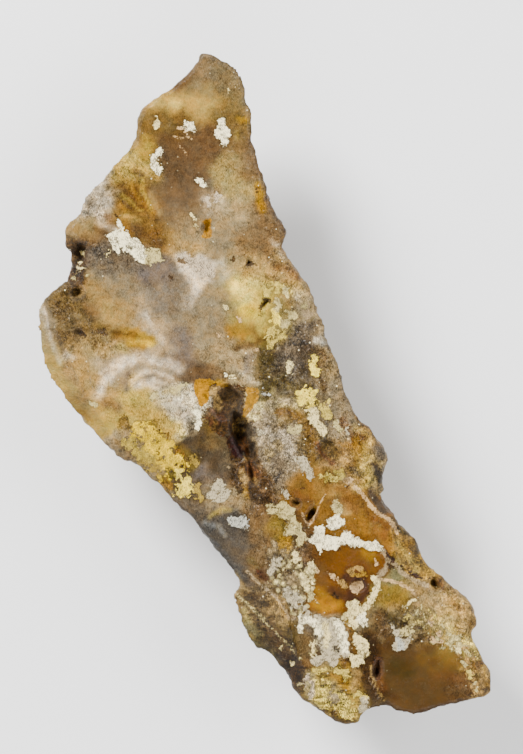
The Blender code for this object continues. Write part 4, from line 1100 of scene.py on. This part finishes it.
def store(mesh, name, values):
    """Keeps a number or a colour for each vertex."""
    if values.ndim == 1:
        layer = mesh.attributes.new(name, "FLOAT", "POINT")
        layer.data.foreach_set("value", values.astype(np.float32))
        return
    layer = mesh.attributes.new(name, "FLOAT_COLOR", "POINT")
    full = np.ones((len(values), 4), np.float32)
    full[:, :3] = values
    layer.data.foreach_set("color", full.ravel())


def paint_ground(mesh, points):
    """The stone's soft colours, with how busy each place is."""
    at = warped(points, DRIFT_WARP, DRIFT_SEED)
    total = np.zeros(len(at))
    colour = np.zeros((len(at), 3))
    busy = np.zeros(len(at))
    for tint, business, reach, line in DRIFTS:
        weight = np.exp(-FALLOFF * (distance_to(at, line, False) / reach) ** 2) + LEAST_WEIGHT
        total += weight
        colour += weight[:, None] * np.array(TINTS[tint])
        busy += weight * business
    colour /= total[:, None]
    busy /= total
    at = warped(points, WASH_WARP, WASH_SEED)
    ragged = WASH_RAGGED * noise(points, WASH_RAG_SIZE, WASH_RAG_SEED)
    for tint, strength, softness, width, line in WASHES:
        depth = depth_in(at, width, line)
        share = strength * smooth(depth + ragged * softness, -softness, softness)
        colour += share[:, None] * (np.array(TINTS[tint]) - colour)
    sawing = [smooth(depth_in(at, 0.0, outline), *SAW_EDGE) for outline in SAWING]
    store(mesh, "sawing", np.max(sawing, axis=0))
    store(mesh, "ground", surface(colour))
    store(mesh, "busy", busy)


def paint_marks(mesh, points):
    """For each kind of mark, the depth inside it and the tint of the nearest one."""
    below = FACE_HEIGHT - points[:, 2]
    fade = MARK_FADE * np.maximum(0.0, below - MARK_DEPTH)
    for number, (name, marks) in enumerate(GROUPS.items()):
        at = warped(points, MARK_WARP, MARK_SEED + 10 * number)
        field = np.full(len(at), -FAR)
        tint = np.zeros((len(at), 3))
        for colour, width, line in marks:
            depth = depth_in(at, width, line)
            wins = (depth > field) | (depth > COVER)
            field = np.maximum(field, depth)
            tint[wins] = linear(colour)
        store(mesh, name + "_depth", np.maximum(field - fade, -FAR))
        store(mesh, name + "_tint", tint)


def evaluated(thing):
    """The thing's mesh with its modifiers applied."""
    graph = bpy.context.evaluated_depsgraph_get()
    return bpy.data.meshes.new_from_object(thing.evaluated_get(graph))


def coordinates(mesh):
    """Vertex places in millimetres."""
    flat = np.empty(len(mesh.vertices) * 3, np.float64)
    mesh.vertices.foreach_get("co", flat)
    return flat.reshape(-1, 3) / MM


def set_coordinates(mesh, points):
    """Writes vertex places in millimetres."""
    mesh.vertices.foreach_set("co", (points * MM).ravel())
    mesh.update()


def directions(mesh):
    """Vertex normals."""
    flat = np.empty(len(mesh.vertices) * 3, np.float64)
    mesh.vertex_normals.foreach_get("vector", flat)
    return flat.reshape(-1, 3)


def fine_mesh(node):
    """A fine, even copy of the node's mesh."""
    copy = bpy.data.objects.new("copy", node.data.copy())
    bpy.context.scene.collection.objects.link(copy)
    work = bmesh.new()
    work.from_mesh(copy.data)
    bmesh.ops.remove_doubles(work, verts=work.verts, dist=WELD * MM)
    work.to_mesh(copy.data)
    work.free()
    remesh = copy.modifiers.new("remesh", "REMESH")
    remesh.mode = "VOXEL"
    remesh.voxel_size = GRAIN * MM
    mesh = evaluated(copy)
    bpy.data.objects.remove(copy)
    return mesh


def neighbours_mean(mesh, values, shares):
    """Values moved towards their neighbours' mean, once for each share."""
    pairs = np.empty(len(mesh.edges) * 2, np.int64)
    mesh.edges.foreach_get("vertices", pairs)
    pairs = pairs.reshape(-1, 2)
    count = np.bincount(pairs.ravel(), minlength=len(values)).astype(float)[:, None]
    for share in shares:
        total = np.zeros_like(values)
        np.add.at(total, pairs[:, 0], values[pairs[:, 1]])
        np.add.at(total, pairs[:, 1], values[pairs[:, 0]])
        values = values + share * (total / count - values)
    return values


def roughen(mesh):
    """Adds the fine relief of the rough skin, the crust and the pits."""
    points = coordinates(mesh)
    smoothed = neighbours_mean(mesh, points, SMOOTHING)
    up = directions(mesh)
    flat = (points[:, 2] > FACE_HEIGHT - FACE_SNAP) & (up[:, 2] > FACE_UP)
    sawn = neighbours_mean(mesh, flat.astype(float)[:, None], FACE_EDGE)[:, 0]
    rough = 1.0 - smooth(sawn, *FACE_RIM)
    points += rough[:, None] * (smoothed - points)
    lumps = LUMP_HEIGHT * rough_noise(points, LUMP_SIZE, LUMP_SEED, LUMP_LAYERS)
    knobs = KNOB_HEIGHT * (KNOB_MEAN - nearest_cell(points, KNOB_SIZE, KNOB_SEED))
    skin = smooth(noise(points, AREA_SIZE, AREA_SEED), -AREA_EDGE, AREA_EDGE)
    grit = GRIT_HEIGHT * noise(points, GRIT_SIZE, GRIT_SEED)
    bulge = WALL_BULGE * (1.0 - up[:, 2] ** 2)
    step = rough * (lumps + skin * knobs + grit + bulge)
    points += step[:, None] * up
    points[flat, 2] = FACE_HEIGHT
    low = np.array(CAD_BOX[0]) / MM
    high = np.array(CAD_BOX[1]) / MM
    points = np.clip(points, low, high)
    set_coordinates(mesh, points)
    store(mesh, "sawn", 1.0 - rough)
    return points


class Value:
    """A node's output that is added, subtracted and multiplied as a number is."""

    def __init__(self, nodes, socket):
        self.nodes = nodes
        self.socket = socket

    def __add__(self, other):
        return self.nodes.math("ADD", self, other)

    def __sub__(self, other):
        return self.nodes.math("SUBTRACT", self, other)

    def __rsub__(self, other):
        return self.nodes.math("SUBTRACT", other, self)

    def __mul__(self, other):
        return self.nodes.math("MULTIPLY", self, other)


class Nodes:
    """A material, with short calls that add nodes to it and join them."""

    def __init__(self, name):
        self.material = bpy.data.materials.new(name)
        self.material.use_nodes = True
        self.tree = self.material.node_tree
        self.tree.nodes.clear()
        self.place = self.scaled(self.add("TexCoord", {}, "Object"), 1.0 / MM)

    def add(self, kind, inputs, output=0, **settings):
        """Adds a node, with its settings and inputs, and gives one of its outputs."""
        node = self.tree.nodes.new("ShaderNode" + kind)
        for name, setting in settings.items():
            setattr(node, name, setting)
        for name, value in inputs.items():
            self.put(node.inputs[name], value)
        return node.outputs[output]

    def put(self, socket, value):
        """Joins an output to a socket, or sets the socket to a plain value."""
        if isinstance(value, Value):
            value = value.socket
        if isinstance(value, bpy.types.NodeSocket):
            self.tree.links.new(value, socket)
        else:
            socket.default_value = value

    def finished(self, inputs):
        """The material, once a shader with these inputs is its surface."""
        shader = self.add("BsdfPrincipled", inputs)
        output = self.tree.nodes.new("ShaderNodeOutputMaterial")
        self.put(output.inputs["Surface"], shader)
        return self.material

    def math(self, operation, first, second):
        return Value(self, self.add("Math", {0: first, 1: second}, operation=operation))

    def step(self, value, low, high, bottom=0.0, top=1.0):
        """A soft step from bottom to top, as the value goes from low to high."""
        inputs = {"Value": value, "From Min": low, "From Max": high,
                  "To Min": bottom, "To Max": top}
        return Value(self, self.add("MapRange", inputs, interpolation_type="SMOOTHSTEP"))

    def noise(self, size, detail, roughness, shift, place=None):
        """Noise with bumps of a size in millimetres, from about 0.3 to 0.7."""
        inputs = {"Vector": self.shifted(shift, place), "Scale": 1.0 / size,
                  "Detail": detail, "Roughness": roughness}
        return Value(self, self.add("TexNoise", inputs, "Fac"))

    def cells(self, size, shift, place=None, output="Distance"):
        """Cells of a size in millimetres: the distance to each one's middle, or its colour."""
        inputs = {"Vector": self.shifted(shift, place), "Scale": 1.0 / size}
        return Value(self, self.add("TexVoronoi", inputs, output, feature="F1"))

    def number(self, name):
        """A number that the mesh keeps for each vertex."""
        return Value(self, self.add("Attribute", {}, "Fac", attribute_name=name))

    def colour(self, name):
        """A colour that the mesh keeps for each vertex."""
        return self.add("Attribute", {}, "Color", attribute_name=name)

    def mix(self, share, under, over):
        inputs = {0: share, 6: under, 7: over}
        return self.add("Mix", inputs, 2, data_type="RGBA", blend_type="MIX")

    def scaled(self, colour, amount):
        return self.add("VectorMath", {0: colour, "Scale": amount}, operation="SCALE")

    def vector(self, operation, first, second):
        return self.add("VectorMath", {0: first, 1: second}, operation=operation)

    def shifted(self, shift, place=None):
        """Places moved aside, so that two patterns of one kind differ."""
        return self.vector("ADD", place or self.place, (shift, 0.7 * shift, 1.3 * shift))

    def wander(self, size, strength, shift):
        """Places moved about by noise."""
        inputs = {"Vector": self.shifted(shift), "Scale": 1.0 / size, "Detail": 3.0}
        middle = self.vector("SUBTRACT", self.add("TexNoise", inputs, "Color"), (0.5, 0.5, 0.5))
        return self.vector("ADD", self.place, self.scaled(middle, strength))


def rgb(tint):
    """A palette colour for a shader socket."""
    return tuple(linear(tint)) + (1.0,)


class Agate(Nodes):
    """The stone's material. Each layer takes the colour under it and paints on it.

    A noise takes its size, detail, roughness and shift, and cells take a size and a shift.
    """

    def __init__(self):
        super().__init__("plume_agate")
        self.busy = self.number("busy")
        self.sawing = self.number("sawing")
        self.sawn = self.number("sawn")
        self.ground = self.colour("ground")
        self.paleness = self.number("ground")
        self.wide = self.wander(2.4, 2.4, 5.0)
        self.close = self.wander(1.0, 1.0, 15.0)
        self.tight = self.wander(0.5, 0.5, 25.0)
        self.wisp = self.noise(1.8, 8.0, 0.72, 7.0, self.wide) - 0.5
        self.grain = self.noise(0.36, 3.0, 0.7, 13.0) - 0.5
        self.grit = self.noise(0.2, 1.0, 0.6, 14.0) - 0.5
        self.saw = self.noise(0.45, 2.0, 0.7, 16.0, self.along_saw()) - 0.5
        self.edge = self.noise(1.0, 4.0, 0.65, 21.0) - 0.5
        self.frill = self.noise(0.4, 3.0, 0.6, 23.0) - 0.5
        self.plates = self.cells(1.5, 31.0, self.close, "Color") - 0.5
        self.flakes = self.cells(0.6, 33.0, self.tight, "Color") - 0.5
        self.lobes = self.cells(0.42, 34.0)
        coarse = self.noise(1.3, 5.0, 0.75, 31.0, self.close)
        self.knobs = coarse * 0.55 + self.noise(0.5, 3.0, 0.7, 33.0, self.tight) * 0.45
        # The plumes and the whites use this as painted shading: lighter lump tops, darker gaps.
        self.relief = self.step(self.knobs, 0.44, 0.55)
        self.shade = self.shading()

    def along_saw(self):
        """Places drawn out along the saw marks."""
        inputs = {"Vector": self.place, "Rotation": (0.0, 0.0, SAW_TURN),
                  "Scale": (SAW_STRETCH, 1.0, 1.0)}
        return self.add("Mapping", inputs)

    def by_busy(self, calm, busy):
        return self.step(self.busy, 0.0, 1.0, calm, busy)

    def by_sawing(self, plain, sawn):
        return self.step(self.sawing, 0.0, 1.0, plain, sawn)

    def shading(self):
        """Clouds, wisps, grains and saw marks, as a factor on the colours."""
        cloud = self.noise(6.0, 5.0, 0.6, 3.0) - 0.5
        swing = self.wisp * self.by_busy(0.6, 4.8) + self.grain * self.by_busy(0.2, 4.0)
        swing = swing + self.grit * self.by_busy(0.1, 3.4) + cloud * 0.9
        swing = swing * self.step(self.paleness, 0.1, 0.45, 1.0, 2.0)
        swing = swing + self.saw * (self.sawing * 4.0)
        return self.math("MAXIMUM", swing + 1.0, 0.25)

    def base(self):
        """The ground, warmer in some places than in others."""
        colour = self.scaled(self.ground, self.shade)
        warmth = self.step(self.noise(2.2, 5.0, 0.65, 9.0, self.wide), 0.35, 0.65)
        cool = self.vector("MULTIPLY", colour, (0.93, 1.0, 1.14))
        warm = self.vector("MULTIPLY", colour, (1.08, 0.98, 0.84))
        return self.mix(warmth, cool, warm)

    def crumbs(self, colour):
        """Crumbs with dark gaps, where the ground is busy. Their round look and part of the gaps'
        darkness are painted shade.
        """
        self.crumbly = self.step(self.busy, 0.5, 0.9)
        self.crumb = self.cells(0.85, 29.0, self.tight)
        self.clump = self.step(self.noise(1.9, 5.0, 0.7, 17.0, self.close), 0.45, 0.56)
        # Painted shade, in part: the ground between clumps is darkened.
        gap = (1.0 - self.clump) * (self.crumbly * 0.7)
        colour = self.mix(gap, colour, self.scaled(colour, 0.45))
        # Painted shading: each crumb is lighter in its middle than at its edge, so that it looks
        # round.
        body = self.step(self.crumb, 0.15, 0.7, 2.0, 0.8) * self.shade
        clump = self.clump * (self.crumbly * 0.75)
        return self.mix(clump, colour, self.scaled(self.ground, body))

    def dust(self, colour):
        """Pale dust, painted glints and dark specks."""
        lively = self.step(self.busy, 0.3, 0.7, 0.1, 1.0)
        dust = self.step(self.noise(0.55, 4.0, 0.75, 19.0, self.close), 0.57, 0.68)
        dust = dust * self.step(self.noise(4.0, 3.0, 0.6, 20.0), 0.4, 0.62, 0.0, 0.6) * lively
        pale = self.mix(0.5, self.scaled(self.ground, 2.0), rgb("milk"))
        colour = self.mix(dust, colour, pale)
        # Painted glints: sparse white dots of highlight, more where the ground is busy.
        painted_glint = self.step(self.cells(1.7, 22.0), 0.07, 0.11, 0.8, 0.0)
        painted_glint = painted_glint * self.step(self.noise(5.0, 3.0, 0.6, 24.0), 0.48, 0.56) * lively
        colour = self.mix(painted_glint, colour, rgb("porcelain"))
        speck = self.step(self.cells(2.1, 26.0, self.tight), 0.08, 0.15, 0.75, 0.0)
        return self.mix(speck * self.step(self.busy, 0.45, 0.7), colour, rgb("bark"))

    def granular(self, colour):
        """Granular masses, their small lobes painted lighter in the middle as shading."""
        grained = self.step(self.number("grained_depth") + self.edge * 5.0, -0.5, 0.5)
        mosaic = self.cells(0.6, 35.0, self.tight, "Color") - 0.5
        patches = self.noise(1.7, 5.0, 0.7, 36.0, self.close)
        # Painted shading: each small lobe is lighter in its middle than at its edge.
        body = (mosaic * 1.5 + 1.0) * self.step(self.lobes, 0.2, 0.7, 1.25, 0.75)
        body = body * self.step(patches, 0.42, 0.56, 0.7, 1.35)
        body = self.scaled(self.colour("grained_tint"), body * self.shade)
        return self.mix(grained * 0.85, colour, body)

    def plumes(self, colour):
        """Cauliflower plumes with ochre gaps; their lumps are mottled, and lit and shaded by
        paint.
        """
        swell = self.plates * 1.7 + self.flakes * 0.8 + self.edge * 1.6
        plume = self.number("plume_depth") + swell
        bed = self.step(plume + 0.7, -0.5, 0.5)
        gaps = self.mix(0.3, self.scaled(self.ground, 0.5), rgb("mustard"))
        colour = self.mix(bed * 0.7, colour, self.scaled(gaps, self.shade * 0.85))
        self.plume = self.step(self.math("MINIMUM", plume, swell + 0.45), -0.1, 0.12)
        dome_shade_and_tone = self.plates * 0.5 + self.wisp * 2.0 + self.flakes * self.by_sawing(0.5, 1.3)
        dome_shade_and_tone = dome_shade_and_tone + self.grit * self.by_sawing(2.6, 9.5) + self.saw * (self.sawing * 4.5)
        # Painted light and shade: lighter lump tops and darker gaps, over the plume's own
        # mottling.
        lump_shading = self.relief * self.by_sawing(0.55, 0.95) + self.by_sawing(0.8, 0.46)
        self.dome_shade_and_tone = (dome_shade_and_tone + 1.0) * lump_shading
        body = self.scaled(self.colour("plume_tint"), self.dome_shade_and_tone)
        return self.mix(self.plume * 0.95, colour, body)

    def beads(self, colour):
        """Round beads on a darker bed, each painted lighter in its middle and darker at its edge
        as shade.
        """
        self.bead_cells = self.cells(1.15, 37.0)
        beads = self.number("bead_depth") + self.edge * 5.0
        bed = self.step(beads, -0.2, 0.5, 0.0, 0.6)
        colour = self.mix(bed, colour, self.scaled(colour, 0.6))
        beads = self.math("MINIMUM", beads + 0.4, (0.6 - self.bead_cells) * 2.0)
        self.bead = self.step(beads + self.frill * 1.2, -0.08, 0.14)
        # Painted shading: a bead is lit in its middle and shaded at its edge, so that it looks
        # round.
        dome_shade_and_tone = self.step(self.bead_cells, 0.1, 0.55, 1.35, 0.6)
        dome_shade_and_tone = dome_shade_and_tone * self.step(self.lobes, 0.2, 0.7, 1.15, 0.8)
        dome_shade_and_tone = dome_shade_and_tone * (self.grit * 4.2 + 1.02)
        return self.mix(self.bead, colour, self.scaled(self.colour("bead_tint"), dome_shade_and_tone))

    def pieces(self, colour):
        """Angular pieces and thin lines."""
        sharp = self.step(self.number("sharp_depth") + self.frill * 0.9, -0.1, 0.1)
        facet = (self.noise(0.9, 5.0, 0.7, 41.0, self.close) - 0.5) * 3.6 + 0.95
        facet = self.math("MAXIMUM", facet + self.grain * 1.6, 0.3)
        colour = self.mix(sharp, colour, self.scaled(self.colour("sharp_tint"), facet))
        lines = self.step(self.number("line_depth") + self.frill, -0.1, 0.12)
        body = self.scaled(self.colour("line_tint"), self.shade)
        return self.mix(lines * 0.75, colour, body)

    def whites(self, colour):
        """White crumbs with cracks and painted shading, a dark hem that is partly painted shadow,
        and a dusty halo.
        """
        crumbs = self.edge * 2.4 + self.frill + self.flakes * 0.3
        crumbs = crumbs * self.step(self.busy, 0.35, 0.6, 0.75, 1.0)
        depth = self.number("white_depth") + crumbs
        powder = self.step(self.noise(0.4, 3.0, 0.7, 45.0), 0.46, 0.6)
        pale = self.step(self.paleness, 0.09, 0.3)
        halo = self.step(depth, -0.9, 0.1) * (powder * 0.5) * pale
        # Painted shadow, in part: the ground just outside a white mark is darkened, most on darker
        # ground, over a dark border of the stone's own.
        dark_border_and_shadow = self.step(depth, -0.75, -0.15) * self.step(pale, 0.0, 1.0, 0.55, 0.2)
        colour = self.mix(dark_border_and_shadow, colour, self.scaled(colour, 0.4))
        white = self.step(depth, -0.12, 0.04)
        crack = 1.0 - self.step(self.knobs, 0.44, 0.48)
        crack = crack * self.step(self.noise(2.4, 3.0, 0.6, 38.0), 0.45, 0.6, 0.15, 0.9)
        crack = crack * self.step(self.busy, 0.35, 0.6, 0.35, 1.0)
        colour = self.mix(white * (crack * 0.8), colour, self.scaled(self.ground, 0.45))
        self.white = white * (1.0 - crack * 0.9)
        # Painted shading: the white body is lighter on its lumps and darker between them.
        body = self.relief * 0.6 + (self.flakes * 0.45 + 0.5) + self.grit * 3.0
        tint = self.scaled(self.colour("white_tint"), self.math("MINIMUM", body, 1.02))
        return self.mix(self.white, self.mix(halo, colour, tint), tint)

    def darks(self, colour):
        """Holes and dark spots, with light flecks that are partly tan crystals and partly painted
        sparkle.
        """
        ragged = self.edge * 2.6 + self.frill * 1.8
        self.dark = self.step(self.number("dark_depth") + ragged, -0.12, 0.15)
        body = (self.noise(0.8, 5.0, 0.75, 47.0) - 0.5) * 6.0 + 0.85 + self.grit * 2.5
        body = body * self.step(self.cells(0.75, 48.0, self.tight), 0.15, 0.45, 0.3, 1.2)
        # Light flecks: partly tan crystals, partly painted sparkle.
        crystal_flecks_and_sparkle = self.noise(0.5, 3.0, 0.7, 49.0, self.close)
        body = self.math("MAXIMUM", body + self.step(crystal_flecks_and_sparkle, 0.57, 0.68, 0.0, 1.6), 0.3)
        self.pit = self.scaled(self.colour("dark_tint"), body)
        return self.mix(self.dark * 0.9, colour, self.pit)

    def rind(self, colour):
        """The rough skin below the face, from patches of a few tints."""
        crust = rgb("umber")
        for tint, pattern, low, high in RIND_PATCHES:
            crust = self.mix(self.step(self.noise(*pattern), low, high), crust, rgb(tint))
        return self.mix(self.number("rind"), colour, crust)

    def roughness(self):
        """Half glossy where the stone is sawn, and dull elsewhere."""
        polish = self.step(self.noise(2.5, 4.0, 0.6, 81.0), 0.3, 0.7, 0.14, 0.3)
        dull = self.step(self.noise(1.5, 3.0, 0.6, 83.0), 0.3, 0.7, 0.36, 0.56)
        return self.add("Mix", {0: self.step(self.sawn, 0.5, 1.0), 2: dull, 3: polish})

    def height(self):
        """The height of what is too fine for the mesh, from what the layers kept for it.

        White crumbs stand out only a little, and more so near a lighter dark spot.
        """
        tops = self.plume * self.dome_shade_and_tone + self.white * self.pit
        tops = tops + self.bead * (1.0 - self.bead_cells)
        tops = tops + self.clump * self.crumbly * (0.6 - self.crumb) - self.dark
        skin = (self.noise(0.6, 5.0, 0.7, 91.0) - 0.5) * (1.2 - self.sawn)
        return tops * 0.8 + skin * 1.6


def agate_material():
    """All layers of the stone, from its ground to its rind."""
    n = Agate()
    colour = n.base()
    for layer in (n.crumbs, n.dust, n.granular, n.plumes, n.beads, n.pieces, n.whites,
                  n.darks, n.rind):
        colour = layer(colour)
    bump = {"Strength": BUMP_STRENGTH, "Distance": BUMP_HEIGHT * MM, "Height": n.height()}
    return n.finished({
        "Base Color": colour,
        "Roughness": n.roughness(),
        "Normal": n.add("Bump", bump),
        "IOR": IOR,
        "Specular IOR Level": SPECULAR,
        "Subsurface Weight": SUBSURFACE,
        "Subsurface Radius": SUBSURFACE_RADIUS,
        "Subsurface Scale": MM,
    })


def make_stone():
    """The stone's visible mesh, in the place of its CAD node."""
    mesh = fine_mesh(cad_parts[NODE])
    points = roughen(mesh)
    below = FACE_HEIGHT - points[:, 2]
    ragged = below + RIND_EDGE * noise(points, RIND_EDGE_SIZE, RIND_SEED)
    store(mesh, "rind", smooth(ragged, *RIND_DEPTHS))
    paint_ground(mesh, points)
    paint_marks(mesh, points)
    mesh.polygons.foreach_set("use_smooth", np.ones(len(mesh.polygons), bool))
    mesh.name = "plume_agate_stone"
    stone = bpy.data.objects.new("plume_agate_stone", mesh)
    bpy.context.scene.collection.objects.link(stone)
    mesh.materials.clear()
    mesh.materials.append(agate_material())
    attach(stone, "root")
    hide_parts(NODE)
    print("triangles", 2 * len(mesh.polygons))


def make_floor():
    """A plain pale floor."""
    mesh = bpy.data.meshes.new("floor")
    reach = FLOOR_REACH
    corners = [(-reach, -reach, 0), (reach, -reach, 0), (reach, reach, 0), (-reach, reach, 0)]
    mesh.from_pydata(corners, [], [(0, 1, 2, 3)])
    looks = {"Base Color": FLOOR_COLOUR, "Roughness": FLOOR_ROUGHNESS}
    mesh.materials.append(Nodes("pale_floor").finished(looks))
    floor = bpy.data.objects.new("floor", mesh)
    bpy.context.scene.collection.objects.link(floor)


def add_light(name, place, size, power):
    """A soft square light that looks at the stone."""
    light = bpy.data.lights.new(name, "AREA")
    light.size = size
    light.energy = power
    thing = bpy.data.objects.new(name, light)
    thing.location = place
    aim = Vector(LIGHT_AIM) - Vector(place)
    thing.rotation_euler = aim.to_track_quat("-Z", "Y").to_euler()
    bpy.context.scene.collection.objects.link(thing)


def make_studio():
    """Soft light, an even sky and the camera."""
    for name, place, size, power in LIGHTS:
        add_light(name, place, size, power)
    world = bpy.data.worlds.new("studio")
    world.use_nodes = True
    sky = world.node_tree.nodes["Background"]
    sky.inputs["Color"].default_value = (1.0, 1.0, 1.0, 1.0)
    sky.inputs["Strength"].default_value = SKY_STRENGTH
    bpy.context.scene.world = world
    camera = bpy.data.cameras.new("camera")
    camera.sensor_fit = "VERTICAL"
    camera.sensor_height = SENSOR
    camera.lens = SENSOR * CAMERA_REACH / VIEW_HEIGHT
    camera.clip_end = CLIP_END
    thing = bpy.data.objects.new("camera", camera)
    x, y = VIEW_CENTRE
    thing.location = (x * MM, y * MM, (FACE_HEIGHT + CAMERA_REACH) * MM)
    bpy.context.scene.collection.objects.link(thing)
    bpy.context.scene.camera = thing


make_studio()
make_floor()
make_stone()
